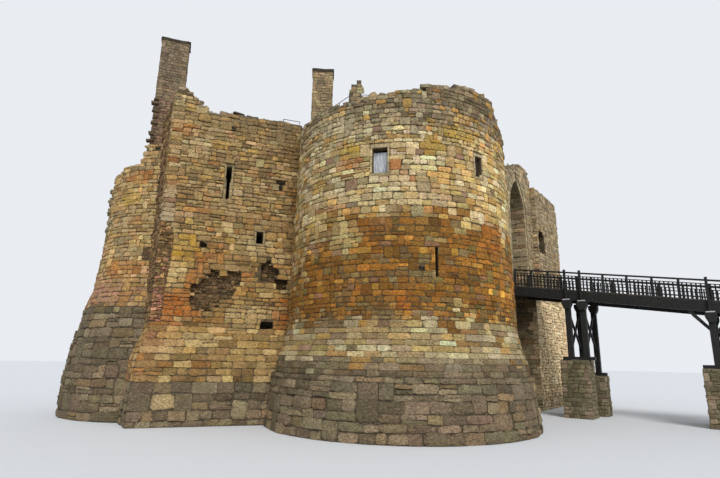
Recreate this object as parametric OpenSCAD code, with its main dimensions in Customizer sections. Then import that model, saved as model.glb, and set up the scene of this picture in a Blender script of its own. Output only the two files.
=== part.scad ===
// A ruined castle keep: a big round drum tower, a canted square tower beside it,
// a small round west tower, a gatehouse with a tall pointed arch, and the timber
// bridge that leads up to the arch. The origin is the centre of the drum tower at
// the lowest foot of the walls. X runs out along the bridge, Y along the gate wall.

/* [Drum tower] */
// Outside diameter at window height
drum_d = 11000; // [10000:100:12000]
// Radius of the rough footing at the ground
drum_foot_r = 6500; // [6300:50:6800]
// Radius under the splayed foot of the wall
drum_splay_r = 6050; // [5900:50:6150]
// Height where the dressed plinth starts
plinth_z = 2400; // [2200:50:2600]
// Height where the splay ends and the upright wall starts
splay_top_z = 4600; // [4300:50:4900]
// Height of the upper room's floor
upper_floor_z = 9700; // [9400:50:10000]
// Height of the roof deck behind the parapet
roof_z = 13900; // [13600:50:14000]
// Distance from the centre to the corners of the drum's rooms
drum_room_r = 3900; // [3500:50:4200]
// Thickness of the drum's parapet
parapet_t = 750; // [600:50:900]
// Thickness of the tower floors
floor_t = 350; // [250:10:450]

/* [Drum openings] */
// Direction of the middle of the left window, degrees from the bridge axis
left_window_a = -66.8; // [-70:0.2:-64]
// Width of the left window
left_window_w = 680; // [500:10:800]
// Sill height of the left window
left_window_z = 10920; // [10700:10:11100]
// Height of the left window
left_window_h = 1180; // [900:10:1400]
// Direction of the middle of the barred window
right_window_a = -17.6; // [-21:0.2:-15]
// Width of the barred window
right_window_w = 420; // [350:10:600]
// Sill height of the barred window
right_window_z = 11120; // [10900:10:11300]
// Height of the barred window
right_window_h = 970; // [800:10:1200]
// Direction of the arrow slit
slit_a = -42; // [-46:0.5:-38]
// Width of the arrow slit
slit_w = 120; // [90:5:200]
// Foot height of the arrow slit
slit_z = 6330; // [6100:10:6500]
// Height of the arrow slit
slit_h = 1300; // [1000:10:1500]

/* [Square tower] */
// Thickness of the square tower's walls
square_t = 1500; // [1200:50:1800]
// Top of the square tower's front wall
square_top_z = 15500; // [15200:50:15800]
// Height of the square tower's roof deck
square_roof_z = 14600; // [14300:50:14800]
// How far the foot splays out
square_splay = 500; // [300:10:700]
// Height where the foot starts to slope back
square_splay_z = 2900; // [2700:50:3100]
// Width of the keyhole loop
loop_w = 170; // [120:10:250]
// Distance of the loop from the outer corner, along the wall
loop_x = 2960; // [2700:10:3100]
// Foot height of the loop
loop_z = 10870; // [10500:10:11000]
// Height of the loop
loop_h = 1730; // [1400:10:1900]
// Width of the small window
small_window_w = 340; // [300:10:500]
// Distance of the small window from the outer corner
small_window_x = 4730; // [4600:10:4800]
// Sill height of the small window
small_window_z = 8680; // [8500:10:8900]
// Height of the small window
small_window_h = 620; // [450:10:700]

/* [West tower] */
// Outside radius of the west tower
west_r = 3850; // [3700:50:4000]
// Radius of the splayed foot
west_foot_r = 5000; // [4800:50:5100]
// Distance from the centre to the corners of its room
west_room_r = 2650; // [2400:50:2900]
// Height of the floor inside
west_floor_z = 6800; // [6500:50:7200]
// Top of the tall chimney stack
stack_top_z = 21250; // [20500:50:22500]
// Width of the tall chimney stack
stack_w = 1500; // [1300:50:1700]
// Depth of the tall chimney stack
stack_d = 800; // [700:50:900]

/* [Gatehouse] */
// Distance of the gate front from the drum's centre
gate_x = 2500; // [2400:50:2600]
// Thickness of the gate front
gate_t = 2200; // [1800:50:2400]
// Start of the tall arch along the wall
arch_y = 9800; // [9700:50:9900]
// Width of the tall arch
arch_w = 2800; // [2600:50:3000]
// Height where the arch starts to curve
arch_spring_z = 13050; // [12800:50:13400]
// Height of the threshold
threshold_z = 7750; // [7600:50:7800]
// Depth of the whole gatehouse
gate_depth = 6200; // [5800:50:7000]
// Far end of the gatehouse
gate_end_y = 19500; // [19000:50:20500]
// How far the far block stands out from the arch wall
far_block_out = 350; // [200:10:500]
// Thickness of the far block's walls
far_block_t = 1500; // [1200:50:1800]

/* [Bridge] */
// Near edge of the bridge along the gate wall
bridge_y = 9500; // [9400:10:9600]
// Width of the bridge over its girders
bridge_w = 2900; // [2700:50:3100]
// Height of the walking surface at the gate
deck_z = 7830; // [7800:10:7900]
// Fall of the bridge over one metre
bridge_fall = 147; // [120:1:160]
// Length of the bridge from the gate front
bridge_l = 17000; // [16500:50:17500]
// Depth of a girder
girder_h = 540; // [450:10:600]
// Height of the handrail over the walking surface
rail_h = 1080; // [1000:10:1150]
// Spacing of the railing's balusters
baluster_pitch = 155; // [140:1:200]

/* [Hidden] */
$fn = 720;

// Small overlap used only where one shape is cut through another
cut = 50;
// Small drop that keeps a cutting shape's edges off the level joints
shift = 3;

// Plan points of the square tower: outer corner, junction with the drum,
// rear junction with the drum, rear junction with the west tower
corner = [-7900, -9000];
front_end = [-4300, -3640];
rear_start = [-5150, 2000];
rear_end = [-11000, -1500];
west_c = [-12600, -5000];
return_end = [-10160, -8040];
drum_r = drum_d / 2;

// Heights of the ragged drum rim, one for each 15 degrees from minus 180
rim_step = 15;
rim_z = [
    15000, 15050, 15000, 14800, 14650, 14700, 14560, 14720, 14870, 15220, 15500, 15500,
    14550, 14300, 14350, 14600, 14700, 14550, 14400, 14600, 14750, 14600, 14700, 14800
];
function rim(a) = rim_z[floor(((a + 540) % 360) / rim_step)];

// Top of the west tower's whole wall, and the heights of the broken courses over it,
// one for each 15 degrees from minus 180
west_whole_z = 11300;
west_z = [
    11700, 11600, 11500, 11800, 12150, 12900, 13200, 13200, 14300, 14300, 14200, 14100,
    14000, 14000, 13900, 13700, 13500, 13200, 12900, 12600, 12300, 12000, 11900, 11800
];
function west_top(a) = west_z[floor(((a + 540) % 360) / rim_step)];

// Directions where the segments of the west tower's wall meet
west_step = 45;
function west_a(i) = i * west_step - 150;

function polar(r, a) = [r * cos(a), r * sin(a)];
function wall_angle(p, q) = atan2(q[1] - p[1], q[0] - p[0]);
function wall_length(p, q) = norm(q - p);

// Colours of the stone, the timber and the metal
tan_stone = "#b89a68";
pale_stone = "#c8b083";
grey_stone = "#8a7f70";
rough_stone = "#6f665c";
timber = "#26221f";
metal = "#3a3f42";

// A frame along a wall face: X from p to q, Y into the wall, Z up
module along(p, q) {
    translate([p[0], p[1], 0])
    rotate([0, 0, wall_angle(p, q)])
    children();
}

// Outer radius of the drum's wall by height: plinth, splay, slight batter to the top
drum_line = [
    [plinth_z, drum_splay_r + 60], [plinth_z + 600, drum_splay_r], [3800, 5790],
    [splay_top_z, drum_r + 140], [17000, drum_r - 120]
];

// Outer radius of the west tower's wall by height, with its long splay
west_line = [
    [0, west_foot_r], [1800, west_foot_r - 50], [3250, west_r + 950], [5300, west_r + 550],
    [6500, west_r + 250], [8500, west_r + 50], [10000, west_r], [17000, west_r]
];

// The half section of a round wall between two heights, from an inner radius outwards
function wall_section(line, r_in, z0, z1) = concat(
    [[r_in, z0], [lookup(z0, line), z0]],
    [for (p = line) if (p[0] > z0 && p[0] < z1) [p[1], p[0]]],
    [[lookup(z1, line), z1], [r_in, z1]]
);

// Heights of the toothing where a flat wall meets a round one
tooth_z = [
    0, 800, 1600, 2400, 2700, 3000, 3250, 3500, 3750, 4000, 4300, 4600, 5300, 6000, 7000,
    8000, 9000, 10000, 12000, 14000, 17000
];

// The round body of a tower in toothed rings, for cutting the walls that meet it
module tower_body(line) {
    rotate_extrude()
    polygon(concat(
        [[0, -cut]],
        [for (i = [0:len(tooth_z) - 2], end = [0, 1])
            [lookup(tooth_z[i], line) + 1, tooth_z[i + end] - (i + end == 0 ? cut : shift)]],
        [[0, 17000 - shift]]
    ));
}

drum_outline = concat([[0, drum_foot_r], [plinth_z - 1, drum_splay_r + 200]], drum_line);

module drum_body() {
    tower_body(drum_outline);
}

module west_body() {
    translate([west_c[0], west_c[1], 0])
    tower_body(west_line);
}

// The foot of a tower in many-sided rings, for cutting the footing between the towers
module tower_foot(line, sides) {
    for (i = [0:11])
        translate([0, 0, tooth_z[i] - cut])
        linear_extrude(tooth_z[i + 1] - tooth_z[i] + cut - shift)
        polygon([
            for (k = [0:sides - 1])
                polar((lookup(tooth_z[i], line) + 1) / cos(180 / sides), (k + 0.4) * 360 / sides)
        ]);
}

// One upright segment of a round wall, round outside and flat inside
module wall_segment(line, a0, a1, z0, z1, room_r) {
    from = polar(room_r, a0);
    to = polar(room_r, a1);
    difference() {
        rotate([0, 0, a0])
        rotate_extrude(angle = a1 - a0)
        polygon(wall_section(line, room_r * cos((a1 - a0) / 2) - 100, z0, z1));
        translate([0, 0, z0 - cut])
        linear_extrude(z1 - z0 + 2 * cut)
        polygon([[0, 0], from + (from - to) * 0.2, to + (to - from) * 0.2]);
    }
}

module drum_segment(a0, a1, z0, z1, room_r) {
    wall_segment(drum_line, a0, a1, z0, z1, room_r);
}

// Directions of the sides of an opening of a width, at the drum's face
function side_a(a, w, side) = a + side * asin(w / 2 / drum_r);

// The narrow wall strip that holds an opening, below and above it
module drum_opening_strip(a, w, z0, z1, foot, head) {
    drum_segment(side_a(a, w, -1), side_a(a, w, 1), z0, foot, drum_room_r);
    drum_segment(side_a(a, w, -1), side_a(a, w, 1), head, z1, drum_room_r);
}

// Drum tower

module drum_footing() {
    color(rough_stone)
    rotate_extrude()
    polygon([[0, 0], [drum_foot_r, 0], [drum_splay_r + 200, plinth_z], [0, plinth_z]]);
}

module drum_plinth() {
    color(tan_stone)
    rotate_extrude()
    polygon(wall_section(drum_line, 0, plinth_z, splay_top_z));
}

// Directions where the lower wall's segments meet, from the slit round to the slit
lower_a = [side_a(slit_a, slit_w, 1), 15, 72, 130, 188, 250, 360 + side_a(slit_a, slit_w, -1)];

module drum_lower_segment(i) {
    drum_segment(lower_a[i], lower_a[i + 1], splay_top_z, upper_floor_z, drum_room_r);
}

module drum_lower_wall_a() {
    color(tan_stone)
    for (i = [0, 2, 4]) drum_lower_segment(i);
}

module drum_lower_wall_b() {
    color(pale_stone)
    for (i = [1, 3, 5]) drum_lower_segment(i);
}

module drum_slit_wall() {
    color(tan_stone)
    drum_opening_strip(slit_a, slit_w, splay_top_z, upper_floor_z, slit_z, slit_z + slit_h);
}

// Directions where the upper wall's segments meet, window to window
upper_a = [
    side_a(right_window_a, right_window_w, 1), 35, 85, 135, 185, 237,
    360 + side_a(left_window_a, left_window_w, -1)
];

module drum_upper_segment(i) {
    drum_segment(upper_a[i], upper_a[i + 1], upper_floor_z, roof_z, drum_room_r);
}

module drum_upper_wall_a() {
    color(pale_stone) {
        drum_segment(
            side_a(left_window_a, left_window_w, 1), side_a(right_window_a, right_window_w, -1),
            upper_floor_z, roof_z, drum_room_r
        );
        for (i = [1, 3, 5]) drum_upper_segment(i);
    }
}

module drum_upper_wall_b() {
    color(tan_stone)
    for (i = [0, 2, 4]) drum_upper_segment(i);
}

module drum_window_walls() {
    color(tan_stone) {
        drum_opening_strip(
            left_window_a, left_window_w, upper_floor_z, roof_z,
            left_window_z, left_window_z + left_window_h
        );
        drum_opening_strip(
            right_window_a, right_window_w, upper_floor_z, roof_z,
            right_window_z, right_window_z + right_window_h
        );
    }
}

// The pale board that closes the left window, set back, with a gap over it
board_back = 260;
board_t = 60;
board_gap = 130;

module drum_window_board() {
    color("#aebcc8")
    rotate([0, 0, left_window_a])
    translate([drum_r - board_back - board_t, -left_window_w / 2 + 12, left_window_z])
    cube([board_t, left_window_w - 24, left_window_h - board_gap]);
}

// A floor that fits the drum's room, with a little play round it
module room_floor(corners, z, t) {
    translate([0, 0, z - t])
    linear_extrude(t)
    polygon([for (a = corners) polar(drum_room_r - 5, a)]);
}

module drum_upper_floor() {
    color(grey_stone)
    room_floor([for (i = [0:5]) lower_a[i]], upper_floor_z, floor_t);
}

module drum_roof_deck() {
    color(grey_stone)
    room_floor(
        concat([for (i = [0:6]) upper_a[i]], [side_a(left_window_a, left_window_w, 1)]),
        roof_z, floor_t
    );
}

// Blocks of the parapet, every second one, each broken off at its own height
module parapet_blocks(first) {
    difference() {
        for (a = [first:2 * rim_step:179])
            rotate([0, 0, a])
            rotate_extrude(angle = rim_step)
            polygon(wall_section(drum_line, drum_r - parapet_t, roof_z, rim(a + 1)));
        stack_box(
            drum_chimney_at, drum_chimney_turn, drum_chimney_w, drum_chimney_d,
            roof_z - cut, 17000, 2
        );
    }
}

module drum_parapet_a() {
    color(grey_stone)
    parapet_blocks(-180);
}

module drum_parapet_b() {
    color(grey_stone)
    parapet_blocks(rim_step - 180);
}

// Middle of the drum chimney's front face, and its direction
drum_chimney_at = [-3590, -2580];
drum_chimney_turn = 41;
drum_chimney_w = 1120;
drum_chimney_d = 800;
drum_chimney_top_z = 19250;

module drum_chimney() {
    color(grey_stone)
    stack_box(
        drum_chimney_at, drum_chimney_turn, drum_chimney_w, drum_chimney_d,
        roof_z, drum_chimney_top_z
    );
}

// The wall left at the stair head: a low walk with a stepped stub standing on it
stair_wall_from = [-2200, -3350];
stair_wall_to = [-600, -2100];
stair_wall_t = 600;
stair_walk_z = 15900;

module stair_head_wall() {
    color(grey_stone)
    along(stair_wall_from, stair_wall_to)
    translate([0, stair_wall_t, 0])
    rotate([90, 0, 0])
    linear_extrude(stair_wall_t)
    polygon([
        [0, roof_z], [2030, roof_z], [2030, stair_walk_z], [1580, stair_walk_z], [1580, 17820],
        [1330, 17820], [1330, 17560], [1040, 17560], [1040, 17080], [920, 17040],
        [920, stair_walk_z], [0, stair_walk_z]
    ]);
}

// Square tower

// A wall of the square tower from its outer face inwards, ends cut by the towers
module square_wall(p, q, z0, z1, t, before, after) {
    difference() {
        along(p, q)
        translate([-before, 0, z0])
        cube([wall_length(p, q) + before + after, t, z1 - z0]);
        drum_body();
        west_body();
    }
}

// A solid under a battered face, as deep as the tower, its slopes a little lower or higher
module splay_prism(p, q, drop) {
    along(p, q)
    translate([-8000, 0, 0])
    rotate([90, 0, 90])
    linear_extrude(26000)
    polygon([
        [-square_splay - 150, -cut], [-square_splay, square_splay_z - drop],
        [0, splay_top_z - 300 - drop], [0, splay_top_z + cut],
        [14000, splay_top_z + cut], [14000, -cut]
    ]);
}

module square_footing() {
    color(rough_stone)
    difference() {
        intersection() {
            splay_prism(corner, front_end, 0);
            splay_prism(return_end, corner, 40);
            splay_prism(rear_start, rear_end, 80);
            translate([west_c[0], -12000, 0])
            cube([11000, 20000, splay_top_z]);
        }
        tower_foot(drum_outline, 60);
        translate([west_c[0], west_c[1], 0])
        tower_foot(west_line, 60);
        low_opening();
        translate([0, -12000, -cut])
        cube([8000, 20000, splay_top_z + 2 * cut]);
    }
}

front_l = wall_length(corner, front_end);

// Part of the front wall between two distances from the corner
module front_piece(x0, x1, z0, z1) {
    difference() {
        along(corner, front_end)
        translate([x0, 0, z0])
        cube([x1 - x0, square_t, z1 - z0]);
        drum_body();
    }
}

// The front wall beside its openings: the corner end stands higher, broken off
module square_front_wall() {
    color(tan_stone)
    difference() {
        union() {
            along(corner, front_end)
            translate([0, square_t, 0])
            rotate([90, 0, 0])
            linear_extrude(square_t)
            polygon([
                [0, splay_top_z], [loop_x - loop_w / 2, splay_top_z],
                [loop_x - loop_w / 2, square_top_z + 60], [2000, square_top_z - 40],
                [1470, square_top_z + 80], [925, 16200], [520, 16600], [300, 16600], [0, 16250]
            ]);
            front_piece(
                loop_x + loop_w / 2, small_window_x - small_window_w / 2,
                splay_top_z, square_top_z + 70
            );
            front_piece(
                small_window_x + small_window_w / 2, front_l + 900, splay_top_z, square_top_z + 90
            );
        }
        scar();
        broken_hole();
        put_hole();
        low_opening();
        loop_head();
    }
}

// The shallow scar where the facing stones have fallen out
scar_depth = 280;

module front_recess(depth) {
    along(corner, front_end)
    translate([0, depth, 0])
    rotate([90, 0, 0])
    linear_extrude(depth + 400)
    children();
}

module scar() {
    front_recess(scar_depth)
    polygon([
        [1770, 5200], [1970, 5050], [2520, 5100], [2700, 5250], [3000, 5400], [3000, 5660],
        [3380, 5680], [3600, 5900], [3730, 6300], [3970, 6660], [3950, 6980], [3880, 7250],
        [3280, 7180], [3220, 6970], [2880, 6900], [2880, 7200], [2480, 7200], [2480, 6950],
        [2240, 6800], [2050, 6600], [1600, 6380], [1610, 5600]
    ]);
}

// The hole broken through the facing near the drum
module broken_hole() {
    front_recess(450)
    polygon([
        [4830, 6740], [5100, 6750], [5400, 6690], [5700, 6640], [5750, 6360], [6180, 6380],
        [6280, 6660], [6310, 6930], [5680, 6920], [5840, 7220], [5800, 7420], [5420, 7640],
        [5380, 7880], [4800, 7800], [4810, 7380], [4600, 7220], [4580, 7080]
    ]);
}

// The hole of a scaffold timber above the scar, its upper corner fallen away
module put_hole() {
    front_recess(350)
    polygon([[1860, 8240], [2320, 8280], [2100, 8480], [1860, 8560]]);
}

// The low opening at the foot, by the drum
module low_opening() {
    front_recess(800)
    translate([5030, 4370])
    square([640, 390]);
}

// The wider head of the keyhole loop
module loop_head() {
    along(corner, front_end)
    translate([loop_x - loop_w / 2 - 60, -cut, loop_z + 1050])
    cube([loop_w + 100, square_t + 2 * cut, loop_h - 1050]);
}

module square_front_openings() {
    color(pale_stone)
    difference() {
        union() {
            front_piece(loop_x - loop_w / 2, loop_x + loop_w / 2, splay_top_z, loop_z);
            front_piece(
                loop_x - loop_w / 2, loop_x + loop_w / 2, loop_z + loop_h, square_top_z + 60
            );
            front_piece(
                small_window_x - small_window_w / 2, small_window_x + small_window_w / 2,
                splay_top_z, small_window_z
            );
            front_piece(
                small_window_x - small_window_w / 2, small_window_x + small_window_w / 2,
                small_window_z + small_window_h, square_top_z + 80
            );
        }
        scar();
    }
}

module square_return_wall() {
    color(tan_stone)
    difference() {
        square_wall(return_end, corner, splay_top_z, 16000, square_t, 1500, 0);
        along(corner, front_end)
        translate([-8000, 0, 0])
        cube([26000, square_t + 1, 20000]);
        along(corner, front_end)
        translate([-8000, -20000, 0])
        cube([26000, 20000 + 1, 20000]);
    }
}

module square_rear_wall() {
    color(pale_stone)
    difference() {
        square_wall(rear_start, rear_end, splay_top_z, 14900, square_t - 100, 700, 900);
        translate([0, -12000, 0])
        cube([8000, 20000, 20000]);
    }
}

// The room between the walls, as a plan from which both floors are cut
module square_room_slab(z, t) {
    difference() {
        intersection() {
            translate([0, 0, z - t])
            linear_extrude(t)
            polygon([corner, front_end, rear_start, rear_end, return_end]);
            along(corner, front_end)
            translate([-8000, square_t + 1, 0])
            cube([26000, 26000, 20000]);
            along(return_end, corner)
            translate([-8000, square_t + 1, 0])
            cube([26000, 26000, 20000]);
            along(rear_start, rear_end)
            translate([-8000, square_t - 99, 0])
            cube([26000, 26000, 20000]);
        }
        drum_body();
        west_body();
    }
}

module square_floor() {
    color(grey_stone)
    square_room_slab(upper_floor_z, floor_t);
}

module square_roof_deck() {
    color(grey_stone)
    square_room_slab(square_roof_z, floor_t);
}

// West tower

module west_footing() {
    color(rough_stone)
    translate([west_c[0], west_c[1], 0])
    rotate_extrude()
    polygon(wall_section(west_line, 0, 0, west_floor_z));
}

module west_arc(i) {
    translate([west_c[0], west_c[1], 0])
    wall_segment(west_line, west_a(i), west_a(i + 1), west_floor_z, west_whole_z, west_room_r);
}

module west_wall_a() {
    color(tan_stone)
    for (i = [1, 5, 7]) west_arc(i);
}

module west_wall_b() {
    color(pale_stone)
    for (i = [0, 4, 6]) west_arc(i);
}

module west_party_wall() {
    color(grey_stone)
    for (i = [2, 3]) west_arc(i);
}

// The block under the chimney stack is wider, and the one before it narrower
west_wide_a = -60;
west_wide_by = 6;

// Blocks of the broken top, every second one, each left at its own height
module west_top_blocks(first) {
    translate([west_c[0], west_c[1], 0])
    for (a = [first:2 * rim_step:179])
        rotate([0, 0, a == west_wide_a ? a - west_wide_by : a])
        rotate_extrude(angle = a == west_wide_a ? rim_step + west_wide_by
            : a == west_wide_a - rim_step ? rim_step - west_wide_by : rim_step)
        polygon(wall_section(
            west_line, west_room_r * cos(west_step / 2), west_whole_z, west_top(a + 1)
        ));
}

module west_top_a() {
    color(tan_stone)
    west_top_blocks(-180);
}

module west_top_b() {
    color(pale_stone)
    west_top_blocks(rim_step - 180);
}

module west_floor() {
    color(grey_stone)
    translate([west_c[0], west_c[1], upper_floor_z - floor_t])
    linear_extrude(floor_t)
    polygon([for (a = [-60:45:255]) polar(west_room_r - 15, a)]);
}

// Middle of the tall stack's front face, on the wall by the square tower
stack_at = [-10850, -7635];
stack_turn = wall_angle(corner, front_end);
stack_foot_z = 14300;
stack_low_z = 13200;

// A square stack whose front face stands over a point, turned to face the viewer
module stack_box(at, turn, w, d, z0, z1, out = 0) {
    translate([at[0], at[1], z0])
    rotate([0, 0, turn])
    translate([-w / 2 - out, -out, 0])
    cube([w + 2 * out, d + 2 * out, z1 - z0]);
}

// The stack's outer side reaches down to the lower blocks beside the wide one
module west_chimney_stack() {
    color(grey_stone)
    difference() {
        stack_box(stack_at, stack_turn, stack_w, stack_d, stack_low_z, stack_top_z);
        translate([west_c[0], west_c[1], stack_low_z - cut])
        rotate([0, 0, west_wide_a - west_wide_by])
        cube([8000, 8000, stack_foot_z - stack_low_z + cut]);
    }
}

cap_h = 140;
cap_out = 70;

module chimney_caps() {
    color("#4c463f") {
        stack_box(stack_at, stack_turn, stack_w, stack_d, stack_top_z, stack_top_z + cap_h, cap_out);
        stack_box(
            drum_chimney_at, drum_chimney_turn, drum_chimney_w, drum_chimney_d,
            drum_chimney_top_z, drum_chimney_top_z + cap_h, cap_out
        );
    }
}

// Gatehouse

arch_end_y = arch_y + arch_w;
far_block_y = 14200;
far_block_front_x = gate_x + far_block_out;
gate_back_x = gate_x - gate_depth;
base_z = threshold_z - 400;
pit_depth = 2600;
gate_footing_y = 4700;

module box_at(x0, x1, y0, y1, z0, z1) {
    translate([x0, y0, z0])
    cube([x1 - x0, y1 - y0, z1 - z0]);
}

module gate_footing() {
    color(rough_stone) {
        difference() {
            box_at(gate_back_x, gate_x, gate_footing_y, arch_y, 0, base_z);
            drum_body();
        }
        box_at(gate_back_x, far_block_front_x + 100, arch_end_y, gate_end_y, 0, base_z);
    }
}

module gate_pit_wall() {
    color(grey_stone)
    box_at(gate_back_x, gate_x - pit_depth, arch_y, arch_end_y, 0, base_z);
}

// The gate front on both sides of the arch
module gate_front_wall() {
    color(grey_stone) {
        difference() {
            translate([gate_x - gate_t, 0, 0])
            rotate([90, 0, 90])
            linear_extrude(gate_t)
            polygon([
                [4400, base_z], [arch_y, base_z], [arch_y, 16000], [8600, 16000],
                [7400, 15800], [4400, 15600]
            ]);
            drum_body();
        }
        translate([gate_x - gate_t, 0, 0])
        rotate([90, 0, 90])
        linear_extrude(gate_t)
        polygon([
            [arch_end_y, base_z], [far_block_y, base_z], [far_block_y, 16100],
            [14000, 16250], [13750, 16850], [13400, 16980], [arch_end_y, 16980]
        ]);
    }
}

// The outline of a pointed arch: each side is an arc about the other springing
arch_steps = 10;
function arch_a(i) = 60 * i / arch_steps;
function arch_line(y0, w, spring, foot) = concat(
    [[y0 + w, foot], [y0, foot]],
    [for (i = [0:arch_steps]) [y0 + w - w * cos(arch_a(i)), spring + w * sin(arch_a(i))]],
    [for (i = [arch_steps - 1:-1:0]) [y0 + w * cos(arch_a(i)), spring + w * sin(arch_a(i))]]
);

module gate_arch_head() {
    color(grey_stone)
    translate([gate_x - gate_t, 0, 0])
    rotate([90, 0, 90])
    linear_extrude(gate_t)
    difference() {
        polygon([
            [arch_y, arch_spring_z], [arch_end_y, arch_spring_z], [arch_end_y, 16980],
            [11900, 16900], [11000, 16500], [arch_y, 16000]
        ]);
        polygon(arch_line(arch_y, arch_w, arch_spring_z, arch_spring_z - 200));
    }
}

side_wall_t = 1400;
inner_t = 900;

module gate_side_walls() {
    color(tan_stone) {
        box_at(gate_back_x, gate_x - gate_t, arch_y - side_wall_t, arch_y, base_z, 13600);
        box_at(gate_back_x, gate_x - gate_t, arch_end_y, arch_end_y + side_wall_t, base_z, 13900);
    }
}

// How far the passage floor stands out over the pit
floor_lip = 300;

module gate_passage_floor() {
    color(grey_stone)
    box_at(gate_back_x, gate_x - pit_depth + floor_lip, arch_y, arch_end_y, base_z, threshold_z);
}

// The inner gateway at the back of the passage
inner_spring_z = threshold_z + 2000;
inner_w = 2000;

module gate_inner_arch() {
    color(tan_stone)
    translate([gate_back_x, 0, 0])
    rotate([90, 0, 90])
    linear_extrude(inner_t)
    difference() {
        translate([arch_y, threshold_z])
        square([arch_w, 5200]);
        polygon(arch_line(arch_y + (arch_w - inner_w) / 2, inner_w, inner_spring_z, threshold_z - cut));
    }
}

// Far block

far_window_y = 15100;
far_window_w = 1300;
far_window_z = 10900;
far_window_h = 1650;
far_top_z = 15600;

module far_front_piece(y0, y1, z0, z1) {
    box_at(far_block_front_x - far_block_t, far_block_front_x, y0, y1, z0, z1);
}

module far_block_front() {
    color(grey_stone) {
        far_front_piece(far_block_y, far_window_y - far_window_w / 2, base_z, far_top_z);
        translate([far_block_front_x - far_block_t, 0, 0])
        rotate([90, 0, 90])
        linear_extrude(far_block_t)
        polygon([
            [far_window_y + far_window_w / 2, base_z], [gate_end_y, base_z],
            [gate_end_y, far_top_z - 700], [gate_end_y - 400, far_top_z - 150],
            [gate_end_y - 600, far_top_z], [17600, far_top_z + 100],
            [far_window_y + far_window_w / 2, far_top_z + 60]
        ]);
    }
}

module far_block_window_wall() {
    color(tan_stone) {
        far_front_piece(
            far_window_y - far_window_w / 2, far_window_y + far_window_w / 2, base_z, far_window_z
        );
        far_front_piece(
            far_window_y - far_window_w / 2, far_window_y + far_window_w / 2,
            far_window_z + far_window_h, far_top_z + 30
        );
    }
}

module far_block_end_walls() {
    color(tan_stone) {
        box_at(
            gate_back_x, far_block_front_x - far_block_t, gate_end_y - far_block_t, gate_end_y,
            base_z, 14600
        );
        box_at(
            gate_back_x, gate_back_x + far_block_t, arch_end_y + side_wall_t,
            gate_end_y - far_block_t, base_z, 13200
        );
    }
}

module far_block_floor() {
    color(grey_stone)
    union() {
        box_at(
            gate_back_x + far_block_t, gate_x - gate_t, arch_end_y + side_wall_t,
            gate_end_y - far_block_t, upper_floor_z - floor_t, upper_floor_z
        );
        box_at(
            gate_back_x + far_block_t, far_block_front_x - far_block_t, far_block_y,
            gate_end_y - far_block_t, upper_floor_z - floor_t, upper_floor_z
        );
    }
}

// Bridge

// Height of a sloping line over the bridge at a distance from the gate front
function bridge_z(x, dz) = deck_z + dz - (x - gate_x) * bridge_fall / 1000;

bridge_end = gate_x + bridge_l;
girder_w = 300;
deck_t = 80;

// A bar that follows the fall of the bridge
module sloping_bar(x0, x1, dz0, dz1, y0, y1) {
    translate([0, y1, 0])
    rotate([90, 0, 0])
    linear_extrude(y1 - y0)
    sloping_outline(x0, x1, dz0, dz1);
}

module sloping_outline(x0, x1, dz0, dz1) {
    polygon([
        [x0, bridge_z(x0, dz0)], [x1, bridge_z(x1, dz0)], [x1, bridge_z(x1, dz1)],
        [x0, bridge_z(x0, dz1)]
    ]);
}

module bridge_girders() {
    color(timber)
    for (y = [bridge_y, bridge_y + bridge_w - girder_w])
        sloping_bar(gate_x + 20, bridge_end, -deck_t - girder_h, -deck_t, y, y + girder_w);
}

// The boards of the bridge, and the boards that span the pit between the arch's jambs
module bridge_deck() {
    color("#3a332d") {
        sloping_bar(gate_x + 20, bridge_end, -deck_t, 0, bridge_y, bridge_y + bridge_w);
        box_at(
            gate_x - pit_depth + floor_lip, gate_x, arch_y, arch_end_y,
            threshold_z - 2 * deck_t, threshold_z
        );
    }
}

rail_t = 60;
post_w = 130;
post_pitch = 1900;
first_post_x = gate_x + 120;
baluster_w = 45;

leg_w = 300;
gate_legs_x = [5600, 6450];
field_leg_x = 12600;
head_out = 170;

// A railing on one side of the deck, with the tall posts that stand on the leg heads
module railing(y, outer_y) {
    for (x = concat(gate_legs_x, field_leg_x))
        translate([x + (leg_w - post_w) / 2, outer_y, bridge_z(x + leg_w, -deck_t - girder_h) - 20])
        cube([post_w, post_w, girder_h + deck_t + rail_h + 110]);
    sloping_railing_panel(y + (post_w - rail_t) / 2);
    for (x = [first_post_x:post_pitch:bridge_end])
        translate([x, y, bridge_z(x + post_w, 0)])
        cube([post_w, post_w, rail_h - 20]);
}

module sloping_railing_panel(y) {
    translate([0, y + rail_t, 0])
    rotate([90, 0, 0])
    linear_extrude(rail_t)
    union() {
        sloping_outline(first_post_x, bridge_end - 60, rail_h - 90, rail_h);
        sloping_outline(first_post_x, bridge_end - 60, rail_h - 330, rail_h - 270);
        sloping_outline(first_post_x, bridge_end - 60, 120, 190);
        for (x = [first_post_x:baluster_pitch:bridge_end - 200])
            sloping_outline(x, x + baluster_w, 150, rail_h - 300);
    }
}

module bridge_railing_near() {
    color(timber)
    railing(bridge_y + 40, bridge_y - post_w - 1);
}

module bridge_railing_far() {
    color(timber)
    railing(bridge_y + bridge_w - 40 - post_w, bridge_y + bridge_w + 1);
}

// One trestle leg from its sill to the girder, with the corbelled head that stands out
// past the girder

module trestle_leg(x, y, foot_z) {
    head_z = bridge_z(x + leg_w, -deck_t - girder_h) - 20;
    outer_y = y < bridge_y + bridge_w / 2 ? y - head_out : y;
    translate([x, y, foot_z])
    cube([leg_w, leg_w, head_z - foot_z]);
    translate([0, outer_y + leg_w + head_out, 0])
    rotate([90, 0, 0])
    linear_extrude(leg_w + head_out)
    polygon([
        [x, head_z - 480], [x + leg_w, head_z - 480], [x + leg_w + 110, head_z - 230],
        [x + leg_w + 110, head_z], [x - 110, head_z], [x - 110, head_z - 230]
    ]);
}

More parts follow.
